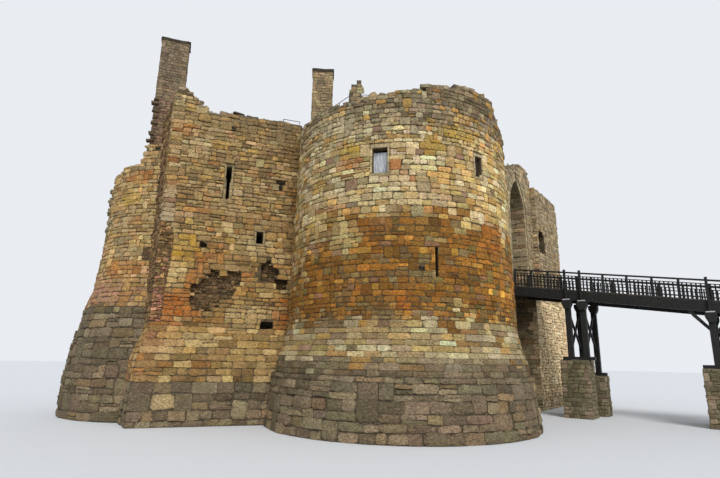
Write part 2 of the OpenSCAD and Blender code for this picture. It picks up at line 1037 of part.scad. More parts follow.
// Pairs of crossed braces between two legs in the plane across the bridge
module cross_brace(x, y0, y1, z0, z1) {
    translate([x, 0, 0])
    rotate([90, 0, 90])
    linear_extrude(100)
    union() {
        polygon([[y0, z0], [y0, z0 + 180], [y1, z1], [y1, z1 - 180]]);
        polygon([[y1, z0], [y1, z0 + 180], [y0, z1], [y0, z1 - 180]]);
    }
}

near_leg_y = bridge_y;
far_leg_y = bridge_y + bridge_w - leg_w;
near_pier_z = 3200;
far_pier_z = 2300;
field_pier_z = 2850;
sill_h = 200;

module bridge_trestle_gate() {
    color(timber) {
        for (x = gate_legs_x) {
            trestle_leg(x, near_leg_y, near_pier_z + sill_h);
            trestle_leg(x, far_leg_y, far_pier_z + sill_h);
            cross_brace(x + 100, near_leg_y + leg_w, far_leg_y, 3700, 6100);
        }
        box_at(5300, 7050, near_leg_y - 20, near_leg_y + leg_w + 20, near_pier_z, near_pier_z + sill_h);
        box_at(5300, 7050, far_leg_y - 20, far_leg_y + leg_w + 20, far_pier_z, far_pier_z + sill_h);
    }
}

// A knee brace from a leg up to the girder
module knee(x, y, way) {
    z = bridge_z(x + way * 700, -deck_t - girder_h) - 40;
    translate([x, y + 60, 0])
    mirror([way < 0 ? 1 : 0, 0, 0])
    translate([0, leg_w - 120, 0])
    rotate([90, 0, 0])
    linear_extrude(leg_w - 120)
    polygon([[0, z - 1000], [0, z - 780], [620, z - 20], [840, z - 20]]);
}

module bridge_trestle_field() {
    color(timber)
    for (y = [near_leg_y, far_leg_y]) {
        trestle_leg(field_leg_x, y, field_pier_z + sill_h);
        knee(field_leg_x, y, -1);
        knee(field_leg_x + leg_w, y, 1);
        box_at(field_leg_x - 500, field_leg_x + leg_w + 500, y - 20, y + leg_w + 20,
            field_pier_z, field_pier_z + sill_h);
    }
}

module bridge_piers() {
    color(grey_stone) {
        box_at(5200, 6700, 9350, 10650, 0, near_pier_z);
        box_at(5550, 7050, 11550, 12600, 0, far_pier_z);
        box_at(12100, 13400, 9350, 12500, 0, field_pier_z);
    }
}

module bridge_abutment() {
    color(grey_stone)
    box_at(
        bridge_end - 700, bridge_end + 900, bridge_y - 200, bridge_y + bridge_w + 200,
        0, bridge_z(bridge_end, -deck_t - girder_h)
    );
}

// Thin iron railings on the wall walk

bar_t = 40;

module wall_walk_railing() {
    color(metal) {
        along(corner, front_end)
        translate([5800, square_t - 150, square_top_z + 90])
        flat_rail(1000);
        along(stair_wall_from, stair_wall_to)
        translate([0, stair_wall_t / 2, 0])
        stair_rail();
    }
}

// The rail on the square tower's wall: two posts and two bars
module flat_rail(l) {
    for (x = [0, l - bar_t]) translate([x, 0, 0]) cube([bar_t, bar_t, 900]);
    for (z = [430, 860]) translate([0, 0, z]) cube([l, bar_t, bar_t]);
}

// The handrail that climbs past the stair head
module stair_rail() {
    rotate([90, 0, 0])
    linear_extrude(bar_t) {
        polygon([[40, 16270], [900, 16950], [900, 17000], [0, 16290]]);
        polygon([[0, 16290], [40, 16270], [40, stair_walk_z], [0, stair_walk_z]]);
        translate([400, stair_walk_z])
        square([bar_t, 680]);
        translate([1580, 17080])
        square([440, bar_t]);
        translate([1980, stair_walk_z])
        square([bar_t, 1200]);
        translate([1580, stair_walk_z])
        square([bar_t, 1200]);
    }
}

drum_footing();
drum_plinth();
drum_lower_wall_a();
drum_lower_wall_b();
drum_slit_wall();
drum_upper_wall_a();
drum_upper_wall_b();
drum_window_walls();
drum_window_board();
drum_upper_floor();
drum_roof_deck();
drum_parapet_a();
drum_parapet_b();
drum_chimney();
stair_head_wall();
square_footing();
square_front_wall();
square_front_openings();
square_return_wall();
square_rear_wall();
square_floor();
square_roof_deck();
west_footing();
west_wall_a();
west_wall_b();
west_party_wall();
west_top_a();
west_top_b();
west_floor();
west_chimney_stack();
chimney_caps();
gate_footing();
gate_pit_wall();
gate_front_wall();
gate_arch_head();
gate_side_walls();
gate_passage_floor();
gate_inner_arch();
far_block_front();
far_block_window_wall();
far_block_end_walls();
far_block_floor();
bridge_girders();
bridge_deck();
bridge_railing_near();
bridge_railing_far();
bridge_trestle_gate();
bridge_trestle_field();
bridge_piers();
bridge_abutment();
wall_walk_railing();
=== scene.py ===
import math

import bmesh
import bpy
import numpy as np
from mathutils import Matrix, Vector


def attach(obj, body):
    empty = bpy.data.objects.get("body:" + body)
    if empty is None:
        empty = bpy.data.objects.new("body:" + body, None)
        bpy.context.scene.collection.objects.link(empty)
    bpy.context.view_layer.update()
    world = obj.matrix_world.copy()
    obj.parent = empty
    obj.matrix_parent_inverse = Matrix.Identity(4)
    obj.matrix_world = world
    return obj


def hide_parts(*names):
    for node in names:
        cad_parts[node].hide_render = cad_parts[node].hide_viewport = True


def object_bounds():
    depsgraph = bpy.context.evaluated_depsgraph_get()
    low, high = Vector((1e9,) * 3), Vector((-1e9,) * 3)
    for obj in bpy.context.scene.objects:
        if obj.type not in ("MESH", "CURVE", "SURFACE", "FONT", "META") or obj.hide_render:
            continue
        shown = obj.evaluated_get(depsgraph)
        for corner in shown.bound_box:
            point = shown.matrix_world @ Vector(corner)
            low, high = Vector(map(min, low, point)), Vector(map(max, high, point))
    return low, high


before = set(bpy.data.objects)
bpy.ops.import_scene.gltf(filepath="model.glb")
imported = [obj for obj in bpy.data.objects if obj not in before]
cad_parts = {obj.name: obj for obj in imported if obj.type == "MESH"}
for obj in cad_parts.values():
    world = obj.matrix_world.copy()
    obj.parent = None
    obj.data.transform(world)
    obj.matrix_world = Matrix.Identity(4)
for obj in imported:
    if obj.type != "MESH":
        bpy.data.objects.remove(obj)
size_of_cad = [list(corner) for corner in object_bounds()]

# The viewpoint: a walker's camera on the grass in front of the keep, about three metres
# over the lowest foot of the walls, tilted up to take in the chimneys.
bpy.ops.object.select_all(action="DESELECT")
bpy.ops.object.camera_add(
    location=(13.83, -21.87, 3.0),
    rotation=(math.radians(103.606), math.radians(-0.972), math.radians(36.765)),
)
viewpoint = bpy.context.object
viewpoint.name = "viewpoint"
viewpoint.data.lens = 25
viewpoint.data.sensor_width = 36
viewpoint.data.clip_end = 600
bpy.context.scene.camera = viewpoint


# A plain pale floor, a plain pale backdrop and the soft light of a bright clouded day,
# which comes mostly from over the viewer's shoulder.
def set_dials(node, **values):
    """Sets a shader node's own sockets by name, with _ for a space."""
    for socket, value in values.items():
        node.inputs[socket.replace("_", " ")].default_value = value
    return node


def plain_skin(name, **values):
    """A new material with its surface set, and what adds and links the nodes of a pattern."""
    skin = bpy.data.materials.new(name)
    skin.use_nodes = True
    tree = skin.node_tree
    surface = set_dials(tree.nodes["Principled BSDF"], **values)
    return skin, surface, tree.nodes.new, tree.links.new


def reckon(new, link, kind, first, second):
    """A shader node that adds, multiplies or compares two values."""
    node = new("ShaderNodeMath")
    node.operation = kind
    link(first, node.inputs[0])
    link(second, node.inputs[1])
    return node.outputs[0]


bpy.ops.mesh.primitive_plane_add(size=500, location=(0, 0, -0.004))
floor = bpy.context.object
floor.name = "studio_floor"
pale_floor = plain_skin("pale_floor", Base_Color=(0.74, 0.75, 0.76, 1), Roughness=0.95)[0]
floor.data.materials.append(pale_floor)

bpy.ops.object.light_add(type="SUN", location=(20, -14, 30))
daylight = bpy.context.object
daylight.name = "soft_daylight"
daylight.data.energy = 2.1
daylight.data.angle = math.radians(26)
daylight.rotation_euler = (math.radians(52), 0, math.radians(52))

sky = bpy.data.worlds.new("plain_backdrop")
bpy.context.scene.world = sky
sky.use_nodes = True
nodes, new, link = sky.node_tree.nodes, sky.node_tree.nodes.new, sky.node_tree.links.new
cloud_light = set_dials(nodes["Background"], Color=(0.86, 0.92, 1.0, 1), Strength=0.62)
backdrop = set_dials(new("ShaderNodeBackground"), Color=(0.86, 0.89, 0.93, 1), Strength=0.95)
ray = new("ShaderNodeLightPath").outputs
mirrored = reckon(new, link, "MAXIMUM", ray["Is Glossy Ray"], ray["Is Transmission Ray"])
choose = new("ShaderNodeMixShader")
link(reckon(new, link, "MAXIMUM", ray["Is Camera Ray"], mirrored), choose.inputs[0])
link(cloud_light.outputs[0], choose.inputs[1])
link(backdrop.outputs[0], choose.inputs[2])
link(choose.outputs[0], nodes["World Output"].inputs["Surface"])
bpy.context.scene.view_settings.view_transform = "Standard"


# The round drum tower's face: squared sandstone blocks laid in courses on a mortar bed,
# cream and yellow above, rust-orange in a broad band below, weathered at every joint. A
# squared and a worn block are cut here; each stone of a facing is a copy of one.
def new_cube(middle=(0, 0, 0), turn=(0, 0, 0)):
    bpy.ops.object.select_all(action="DESELECT")
    bpy.ops.mesh.primitive_cube_add(size=1, location=middle, rotation=turn)
    return bpy.context.object


def take_down(block):
    """The points and faces of a finished block, for laying copies of it."""
    points = np.array([vert.co for vert in block.data.vertices])
    sides = [list(face.vertices) for face in block.data.polygons]
    bpy.data.objects.remove(block)
    return points, sides


def hew_block(corner, arris, rise, crown):
    """One block whose bed is at y = 0 and whose face is at y = 1, in a unit of its own size."""
    near_face = 0.99
    block = new_cube((0.5, 0.5, 0.5))
    bpy.ops.object.transform_apply(location=True, rotation=True, scale=True)
    bpy.ops.object.mode_set(mode="EDIT")
    bpy.ops.mesh.select_mode(type="EDGE")
    bpy.ops.mesh.select_all(action="DESELECT")
    shape = bmesh.from_edit_mesh(block.data)
    for edge in shape.edges:
        edge.select = abs(edge.verts[0].co.y - edge.verts[1].co.y) > 0.5
    bmesh.update_edit_mesh(block.data)
    bpy.ops.mesh.bevel(offset=corner, segments=1)
    bpy.ops.mesh.select_mode(type="FACE")
    bpy.ops.mesh.select_all(action="DESELECT")
    shape = bmesh.from_edit_mesh(block.data)
    for face in shape.faces:
        face.select = face.calc_center_median().y > near_face
    bmesh.update_edit_mesh(block.data)
    bpy.ops.mesh.inset(thickness=arris)
    shape = bmesh.from_edit_mesh(block.data)
    for vert in shape.verts:
        if vert.co.y > near_face and not vert.select:
            vert.co.y = rise
    bmesh.update_edit_mesh(block.data)
    bpy.ops.mesh.poke(offset=crown)
    bpy.ops.object.mode_set(mode="OBJECT")
    points, sides = take_down(block)
    return points, sorted(side[::-1] for side in sides)


squared_block = hew_block(0.07, 0.05, 0.72, 0.1)
worn_block = hew_block(0.17, 0.12, 0.55, 0.45)
rng = np.random.default_rng(11)


def stone_colour(red, green, blue):
    shade = np.array([red, green, blue]) / 255
    return np.where(shade < 0.04045, shade / 12.92, ((shade + 0.055) / 1.055) ** 2.4)


def finish_piece(name, stones, skin, slot, *replaced):
    """Makes a piece of points, faces and tints, kept inside the size of the CAD."""
    points, faces, tint = stones
    mesh = bpy.data.meshes.new(name)
    mesh.from_pydata(np.clip(points, *np.array(size_of_cad)).tolist(), [], faces)
    if tint is not None:
        layer = mesh.attributes.new("stone_tint", "FLOAT_COLOR", "POINT")
        layer.data.foreach_set("color", np.c_[tint, np.ones(len(tint))].ravel())
    mesh.polygons.foreach_set("use_smooth", [False] * len(mesh.polygons))
    mesh.materials.append(skin)
    piece = bpy.data.objects.new(name, mesh)
    bpy.context.scene.collection.objects.link(piece)
    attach(piece, "root")
    if replaced:
        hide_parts(*replaced)


def join_pieces(*parts):
    points, faces, tints, start = [], [], [], 0
    for part_points, part_faces, part_tints in parts:
        points.append(part_points)
        faces.extend([start + v for v in face] for face in part_faces)
        tints.append(part_tints)
        start += len(part_points)
    return np.concatenate(points), faces, np.concatenate(tints)


def copied_faces(sides, copies, corners):
    return [[i * corners + v for v in side] for i in range(copies) for side in sides]


def lay_stones(cells, place, tints, proud=(0.032, 0.016), rough=0.012, worn=0.4):
    """Vertices, faces and tints of one facing: each cell holds the four corners of a stone."""
    bed, least, most, lean, joint_dirt_and_shade = -0.035, 0.018, 0.09, 0.006, 0.45
    cells = np.array(cells)
    parts = []
    chosen = rng.random(len(cells)) < worn
    for (base, sides), which in ((squared_block, ~chosen), (worn_block, chosen)):
        quad, tint = cells[which], tints[which]
        if not len(quad):
            continue
        n, k = len(quad), len(base)
        s, d, t = base.T[:, None]
        at_bed, at_face = d < 0.1, d > 0.9
        shares = ((1 - s) * (1 - t), s * (1 - t), s * t, (1 - s) * t)
        flat = sum(quad[:, None, i] * share[..., None] for i, share in enumerate(shares))
        flat = flat + rng.normal(0, rough, (n, k, 2)) * ~at_bed[..., None]
        out = np.clip(rng.normal(*proud, (n, 1)), least, most)
        tip = rng.normal(0, lean, (n, 1)) * (s - 0.5) + rng.normal(0, lean, (n, 1)) * (t - 0.5)
        depth = np.where(at_bed, bed, out * d + 2 * tip * at_face)
        depth = depth + rng.normal(0, rough * 0.35, (n, k)) * at_face
        points = place(flat[..., 0], flat[..., 1], depth).reshape(-1, 3)
        # each stone's bed and sides are darker than its face: dirt in the joints and painted shade
        # in the recess between the stones
        side_dirt_and_shade = rng.uniform(0.6, 1.08, (n, k))
        shade = np.where(at_bed, joint_dirt_and_shade, np.where(at_face, 1.0, side_dirt_and_shade))[..., None]
        tint = (tint[:, None] * shade * rng.normal(1, 0.07, (n, k, 1))).reshape(-1, 3)
        parts.append((points, copied_faces(sides, n, k), tint))
    return join_pieces(*parts)


def sides_of(outline):
    return list(zip(outline, outline[1:] + outline[:1]))


def hole_spans(outline, z):
    """Where a level line crosses an outline, as pairs."""
    hits = []
    for (ua, za), (ub, zb) in sides_of(outline):
        if (za <= z) != (zb <= z):
            hits.append(ua + (ub - ua) * (z - za) / (zb - za))
    hits.sort()
    return list(zip(hits[::2], hits[1::2]))


def oblong(u0, u1, z0, z1):
    return [(u0, z0), (u1, z0), (u1, z1), (u0, z1)]


def set_courses(u0, u1, z0, z1, height, width, holes=(), top=None, tall=0.05, joint=0.011,
                wave=0.018):
    """Cells of a coursed wall: course by course, left to right, round the holes."""
    cells, carried, z = [], [], z0
    length, gap, whole_turn, thinnest = u1 - u0, joint / 2, 6.2832, 0.06
    flat_bed = below = (0.0, 1, 0.0)
    while z < z1 - thinnest:
        step = rng.uniform(*height)
        if z + step > z1 - height[0] * 0.6:
            step = z1 - z
        above = (rng.uniform(0.3, 1) * wave, rng.integers(1, 7), rng.uniform(0, 6.28))
        if z + step >= z1 - 1e-6:
            above = flat_bed

        def bed(line, u, level):
            return level + line[0] * math.sin(line[1] * whole_turn * (u - u0) / length + line[2])

        middle = z + step / 2
        shut = [span for hole in holes for span in hole_spans(hole, middle)]
        shut += [(left, right) for left, right, _ in carried]
        for left, right, cell in carried:
            cell[2][1] = bed(above, right, z + step) - gap
            cell[3][1] = bed(above, left, z + step) - gap
        carried = []
        spans, reached = [], u0
        for a, b in sorted(shut):
            if a > reached:
                spans.append((reached, min(a, u1)))
            reached = max(reached, b)
        if reached < u1:
            spans.append((reached, u1))
        for a, b in spans:
            u = a
            grow = rng.uniform(0.85, 1.2)
            while u < b - 0.04:
                run = rng.uniform(*width) * grow
                if b - u - run < width[0] * 0.6:
                    run = b - u if b - u < width[1] * 1.25 else (b - u) / 2
                v = u + run
                if top is not None and middle > top((u + v) / 2) - thinnest:
                    u = v
                    continue
                skew = rng.normal(0, 0.012, 2)
                slack = rng.uniform(0.4, 2.4) * gap
                slack += (rng.random() < 0.14) * rng.uniform(0.01, 0.035)
                left, right = u + gap * 0.6, v - gap * 0.6
                cell = [
                    [left, bed(below, u, z) + gap], [right, bed(below, v, z) + gap],
                    [right + skew[0], bed(above, v, z + step) - slack],
                    [left + skew[1], bed(above, u, z + step) - slack],
                ]
                if rng.random() < 0.09 and step > 0.24:
                    split = step * rng.uniform(0.4, 0.6)
                    low_left, low_right = cell[0][1] + split, cell[1][1] + split
                    cells.append(cell[:2] + [[right, low_right - gap], [left, low_left - gap]])
                    cells.append([[left, low_left + gap], [right, low_right + gap]] + cell[2:])
                else:
                    cells.append(cell)
                    if rng.random() < tall and z + step < z1 - height[0]:
                        carried.append((u, v, cell))
                u = v
        z += step
        below = above
    return cells


def round_face(centre, line, radius):
    """A round wall seen from outside: u is metres along the wall, at a mean radius."""
    heights, radii = zip(*line)

    def place(u, z, d):
        reach = np.interp(z, heights, radii) + d
        turn = u / radius
        return np.stack([centre[0] + reach * np.cos(turn), centre[1] + reach * np.sin(turn), z], -1)

    return place


def patches(u, z, seed):
    """A slow uneven field from 0 to 1, for stains and kinds of stone."""
    k = np.array([[1.3, 0.7], [0.6, -1.1], [2.1, 1.7], [-1.7, 2.3], [3.9, 0.4]])
    p = np.array([1.0, 2.2, 0.3, 4.1, 5.0]) * (seed + 1)
    total = sum(np.sin(k[i, 0] * u + k[i, 1] * z + p[i]) for i in range(5))
    return 0.5 + total / 6


def rise_between(x, low, high):
    t = np.clip((x - low) / (high - low), 0, 1)
    return t * t * (3 - 2 * t)


def drop_between(x, low, high):
    return 1 - rise_between(x, low, high)


def pick_tints(weights, palette, spread=0.06, calm=0.5):
    """One colour a stone, picked by weight and drawn towards the mean of its neighbourhood."""
    weights = np.maximum(np.array(weights, float).T, 0) + 1e-6
    weights = weights / weights.sum(1, keepdims=True)
    run = np.cumsum(weights, 1)
    index = (rng.random((len(weights), 1)) > run).sum(1).clip(0, len(palette) - 1)
    shades = np.array([stone_colour(*shade) for shade in palette])
    base = shades[index] * (1 - calm) + (weights @ shades) * calm
    base = base * np.exp(rng.normal(0, spread * 2.1, (len(base), 1)))
    return np.clip(base * np.exp(rng.normal(0, spread * 0.35, base.shape)), 0.01, 0.75)


def stone_skin(name, grain=38.0, blotch=1.3, lichen=0.35, moss=0.3, bump=0.75, bleach=0.35,
               colour=None):
    """Weathered sandstone: grain, bedding, blotches, pale and yellow lichen, stains, pitting and
    painted shadow in open bedding planes.

    Laid stones bring their own tints; mortar and slabs have one colour that varies."""
    skin, surface, new, link = plain_skin(name, Roughness=0.93, Specular_IOR_Level=0.2)
    where = new("ShaderNodeTexCoord").outputs["Object"]
    laid_flat = set_dials(new("ShaderNodeMapping"), Scale=(1, 1, 2.6))
    link(where, laid_flat.inputs["Vector"])
    bedded = laid_flat.outputs["Vector"]

    def noise(scale, detail, rough, place=where):
        node = set_dials(new("ShaderNodeTexNoise"), Scale=scale, Detail=detail, Roughness=rough)
        link(place, node.inputs["Vector"])
        return node.outputs["Fac"]

    def ramp(source, low, high, dark, light):
        node = set_dials(new("ShaderNodeMapRange"), From_Min=low, From_Max=high, To_Min=dark,
                         To_Max=light)
        link(source, node.inputs["Value"])
        return node.outputs["Result"]

    def mix(kind, shade):
        node = new("ShaderNodeMix")
        node.data_type, node.blend_type = "RGBA", kind
        link(shade, node.inputs["A"])
        return node

    if colour is None:
        tint = new("ShaderNodeAttribute")
        tint.attribute_name = "stone_tint"
        shade = tint.outputs["Color"]
    else:
        spots = new("ShaderNodeValToRGB")
        dark, light = spots.color_ramp.elements
        dark.position, light.position = 0.3, 0.72
        dark.color = (*[c * 0.55 for c in colour], 1)
        light.color = (*[min(c * 1.3, 1) for c in colour], 1)
        link(noise(7.0, 6, 0.65), spots.inputs["Fac"])
        shade = spots.outputs["Color"]
    fine = ramp(noise(grain, 5, 0.7), 0.38, 0.62, 0.76, 1.24)
    wide = ramp(noise(blotch, 4, 0.6), 0.3, 0.7, 0.84, 1.14)
    mottle = ramp(noise(10.0, 7, 0.78, bedded), 0.41, 0.59, 0.5, 1.48)
    light = reckon(new, link, "MULTIPLY", reckon(new, link, "MULTIPLY", fine, wide), mottle)
    grey = new("ShaderNodeCombineColor")
    for channel in ("Red", "Green", "Blue"):
        link(light, grey.inputs[channel])
    grained = set_dials(mix("MULTIPLY", shade), Factor=1.0)
    link(grey.outputs["Color"], grained.inputs["B"])
    shade = grained.outputs["Result"]

    # bleached skin, pale lichen, yellow lichen, damp stains, and painted shadow in open bedding
    # planes
    for scale, detail, rough, place, low, high, most, over in (
        (5.5, 7, 0.72, bedded, 0.5, 0.72, bleach, (0.47, 0.365, 0.20, 1)),
        (13.0, 8, 0.72, where, 0.62, 0.70, lichen, (0.60, 0.57, 0.46, 1)),
        (4.3, 7, 0.7, where, 0.60, 0.72, lichen * 0.8, (0.44, 0.30, 0.07, 1)),
        (2.3, 9, 0.78, where, 0.56, 0.72, moss, (0.075, 0.062, 0.042, 1)),
        (6.0, 9, 0.8, bedded, 0.575, 0.645, 0.85, (0.06, 0.045, 0.028, 1)),
    ):
        layer = set_dials(mix("MIX", shade), B=over)
        link(ramp(noise(scale, detail, rough, place), low, high, 0.0, most), layer.inputs["Factor"])
        shade = layer.outputs["Result"]
    link(shade, surface.inputs["Base Color"])
    pits = reckon(new, link, "ADD", noise(13.0, 9, 0.75, bedded),
                  ramp(noise(60.0, 4, 0.7), 0, 1, 0.0, 0.3))
    relief = set_dials(new("ShaderNodeBump"), Strength=bump, Distance=0.055)
    link(pits, relief.inputs["Height"])
    link(relief.outputs["Normal"], surface.inputs["Normal"])
    return skin


def dress(skin, *names):
    for name in names:
        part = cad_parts[name]
        part.data.materials.clear()
        part.data.materials.append(skin)


drum_mean = 5.55
drum_line = [(0, 6.5), (2.4, 6.25), (2.401, 6.11), (3.0, 6.05), (3.8, 5.79), (4.6, 5.64),
             (17, 5.38)]
drum_face = round_face((0, 0), drum_line, drum_mean)
drum_skin = stone_skin("drum_sandstone", bleach=0.22)
mortar = stone_skin("lime_mortar", grain=60.0, lichen=0.05, moss=0.45, bump=0.5, bleach=0.1,
                    colour=(0.12, 0.085, 0.045))
dress(mortar, "drum_lower_wall_a", "drum_lower_wall_b", "drum_slit_wall", "drum_upper_wall_a",
      "drum_upper_wall_b", "drum_window_walls", "drum_plinth")


def at(degrees):
    """Metres along the drum's face for a direction."""
    return math.radians(degrees) * drum_mean


def drum_gap(degrees, half, z0, z1):
    return oblong(at(degrees) - half, at(degrees) + half, z0, z1)


drum_round = (at(-180), at(180))
board_side, bars_side, slit_side = -66.8, -17.6, -42
lost_stones = [drum_gap(-57.5, 0.08, 11.2, 11.42), drum_gap(-48.5, 0.12, 6.5, 6.78)]
drum_holes = [
    drum_gap(board_side, 0.44, 10.74, 12.28), drum_gap(bars_side, 0.30, 10.98, 12.25),
    drum_gap(slit_side, 0.075, 6.32, 7.64), *lost_stones,
    # where the gatehouse and the square tower are built against the drum
    oblong(at(63), at(89), 7.3, 15.4), oblong(at(62), at(126), 0, 7.3),
    oblong(at(162), at(180), 0, 14.6), oblong(at(-180), at(-143), 0, 14.6),
]
drum_palette = [
    (188, 164, 116), (214, 196, 154), (180, 148, 88), (148, 96, 36), (118, 78, 30),
    (152, 136, 106), (188, 140, 66), (118, 102, 76), (108, 102, 66), (128, 92, 84),
]
rust, gold = stone_colour(168, 96, 34), stone_colour(180, 144, 50)
cream, ash = stone_colour(206, 190, 148), stone_colour(120, 108, 84)
umber, rose = stone_colour(112, 84, 46), stone_colour(178, 130, 104)
drum_marks = [
    (-82, 11.55, 0.75, 0.3, rust, 0.8), (-80, 12.15, 0.5, 0.35, gold, 0.8),
    (-62, 11.3, 0.25, 0.35, rust, 0.7), (-54, 10.7, 0.5, 0.25, rust, 0.5),
    (-42, 12.3, 0.5, 0.4, gold, 0.9), (-30, 12.95, 0.9, 0.35, gold, 0.8),
    (-100, 10.9, 0.5, 0.35, gold, 0.5), (-40, 10.2, 0.3, 0.25, rust, 0.8),
    (-92, 9.55, 0.6, 0.2, rust, 0.6), (-72, 8.6, 0.9, 0.5, rust, 0.6),
    (-99, 8.9, 0.8, 0.4, gold, 0.6), (-83, 8.2, 0.7, 0.8, cream, 0.8),
    (-56, 8.7, 1.2, 0.7, umber, 0.75), (-22, 8.9, 0.7, 0.35, cream, 0.7),
    (-9, 8.4, 0.7, 0.7, rust, 0.6), (-52, 6.5, 1.2, 0.25, ash, 0.7),
    (-77, 6.4, 0.7, 0.3, ash, 0.7), (-83, 5.6, 0.5, 0.45, ash, 0.6),
    (-67, 4.95, 0.65, 0.6, umber, 0.8), (-56, 5.2, 0.35, 0.3, rust, 0.9),
    (-60, 10.0, 2.2, 0.5, cream, 0.35), (-35, 3.25, 4.5, 0.2, cream, 0.6),
    (-92, 4.3, 1.3, 0.7, umber, 0.6), (-72, 3.9, 0.9, 0.35, umber, 0.4),
    (-94, 13.7, 1.5, 0.6, cream, 0.55), (-82, 13.2, 1.1, 0.4, cream, 0.45),
    (-101, 12.4, 0.8, 0.6, cream, 0.35),
]


def daub(tints, u, z, marks):
    """Stains and lichen patches over the stones, each an uneven oval on the unrolled wall."""
    for middle, height, across, tall, colour, strength in marks:
        ragged = 0.7 * (patches(2.3 * u, 2.3 * z, 9) - 0.5)
        reach = ((u - middle) / across) ** 2 + ((z - height) / tall) ** 2 + ragged
        cover = strength * drop_between(reach, 0.4, 1.5) * rng.uniform(0.45, 1.0, len(u))
        shade = colour * np.exp(rng.normal(0, 0.12, (len(u), 1)))
        tints = tints * (1 - cover[:, None]) + shade * cover[:, None]
    return tints


def drum_tints(cells):
    middle = np.array(cells).mean(1)
    u, z = middle[:, 0], middle[:, 1]
    turn = np.degrees(u / drum_mean)
    lower = drop_between(z, 6.3, 8.3)
    rusty = rise_between(z + 1.3 * patches(u, z, 8), 4.9, 6.1)
    rusty = rusty * drop_between(z + 1.2 * patches(u, z, 1), 8.9, 10.2)
    rusty = rusty * (0.3 + 0.7 * rise_between(turn + 26 * lower, -108, -84))
    rusty = rusty * (1 - 0.3 * rise_between(turn, -20, 0))
    rusty = np.clip(rusty * (0.85 + 0.6 * patches(u * 0.7, z * 0.8, 3)), 0, 1)
    brown = rise_between(z, 4.5, 4.9) * drop_between(z, 5.6, 6.8)
    yellow = rise_between(turn, -50, -20) * rise_between(z, 8.5, 10)
    high = rise_between(z + 0.9 * patches(u, z, 2), 12.7, 14.6)
    high = high * (1 - 0.6 * drop_between(turn, -125, -100))
    foot = drop_between(z, 2.9, 3.2)
    calm = 1 - rusty
    weights = [
        calm * (1 - high) * (1 - foot) * (1.1 - 0.7 * brown),
        calm * (1 - high) * (1 - foot) * (0.55 + 0.5 * patches(u, z, 5)) * (1 - 0.9 * brown),
        calm * (1 - high) * (0.45 + yellow) * (1 - 0.7 * foot),
        rusty * 1.7 + 0.05 + 0.5 * brown * calm,
        rusty * 1.1 + 0.04 + 0.25 * brown * calm,
        high * 1.6 + foot * 1.5 + 0.12,
        (calm * 0.28 + 0.5 * yellow + 0.35 * rusty) * (1 - 0.8 * foot),
        high * 1.0 + foot * 1.8 + 0.05 + 0.2 * rusty,
        rusty * 0.5 * patches(u, z, 6) + 0.12 * high + 0.6 * brown * calm,
        rusty * 0.36 * patches(u, z, 4) + 0.05 * calm,
    ]
    marks = [(at(turned), *mark) for turned, *mark in drum_marks]
    tints = daub(pick_tints(weights, drum_palette, 0.1, 0.34), u, z, marks)
    splay = drop_between(z, 4.4, 4.8)[:, None]
    bright = rise_between(turn, -32, -14) * rise_between(z, 4.6, 6.0)
    bright = (bright * drop_between(z, 13.0, 14.2))[:, None]
    grey = (rise_between(z, 13.6, 14.8) * rise_between(turn, -60, -10))[:, None]
    less_blue = 1 - rusty[:, None] * np.array([0.02, 0.05, 0.3])
    return tints * less_blue * (1 - 0.2 * splay) * (1 + 0.26 * bright) * (1 - 0.24 * grey)


def drum_clad(cells, **how):
    return lay_stones(cells, drum_face, drum_tints(cells), **how)


def dark_gaps(cells, place):
    """The shadow in a put-log hole or where one stone is lost, as a sunk dark stone."""
    shadow = stone_colour(30, 22, 15)
    return lay_stones(cells, place, np.array([shadow] * len(cells)), proud=(0.018, 0), rough=0.004)


drum_cells = []
for foot, head, height, width, how in (
    (4.6, 6.1, (0.15, 0.24), (0.20, 0.52), dict(tall=0.03, joint=0.018)),
    (6.1, 8.9, (0.19, 0.32), (0.24, 0.64), dict(joint=0.018, wave=0.03)),
    (8.9, 12.5, (0.20, 0.34), (0.24, 0.66), dict(joint=0.02, wave=0.03)),
):
    drum_cells += set_courses(*drum_round, foot, head, height, width, drum_holes, **how)
drum_gaps = dark_gaps(lost_stones, drum_face)
drum_facing = join_pieces(drum_clad(drum_cells, worn=0.5), drum_gaps)
finish_piece("drum_facing_stones", drum_facing, drum_skin, "drum_stone")

# The drum's splayed foot and plinth: long low blocks, better squared, over rough
# rock-faced footing courses that were meant to be buried.
splay_cells = set_courses(*drum_round, 2.4, 4.6, (0.20, 0.30), (0.35, 0.85), drum_holes, tall=0.0)
drum_splay = drum_clad(splay_cells, proud=(0.022, 0.006), rough=0.006, worn=0.25)
finish_piece("drum_splay_stones", drum_splay, drum_skin, "drum_stone")

footing_skin = stone_skin("footing_rock", grain=16.0, blotch=1.0, moss=0.5, bump=0.9)
footing_core = stone_skin("footing_core", grain=20.0, lichen=0.1, moss=0.6, bump=0.9, bleach=0.15,
                          colour=(0.12, 0.094, 0.062))
dress(footing_core, "drum_footing", "square_footing", "west_footing")


def mixed_stone(palette, shares, spread=0.06, calm=0.5):
    """Tints for a wall whose kinds of stone are mixed alike all over."""
    def tints(cells):
        return pick_tints([np.full(len(cells), share) for share in shares], palette, spread, calm)

    return tints


rock_tints = mixed_stone([(128, 112, 88), (110, 96, 75), (144, 127, 98), (94, 82, 65),
                          (140, 114, 78)], (1.0, 1.0, 0.7, 0.6, 0.4), 0.1)


def lay_rock(cells, place):
    return lay_stones(cells, place, rock_tints(cells), proud=(0.055, 0.03), rough=0.024, worn=0.7)


footing_cells = set_courses(*drum_round, 0, 2.4, (0.26, 0.44), (0.4, 1.0), drum_holes, tall=0.15,
                            joint=0.02, wave=0.07)
finish_piece("drum_footing_stones", lay_rock(footing_cells, drum_face), footing_skin,
             "footing_stone")


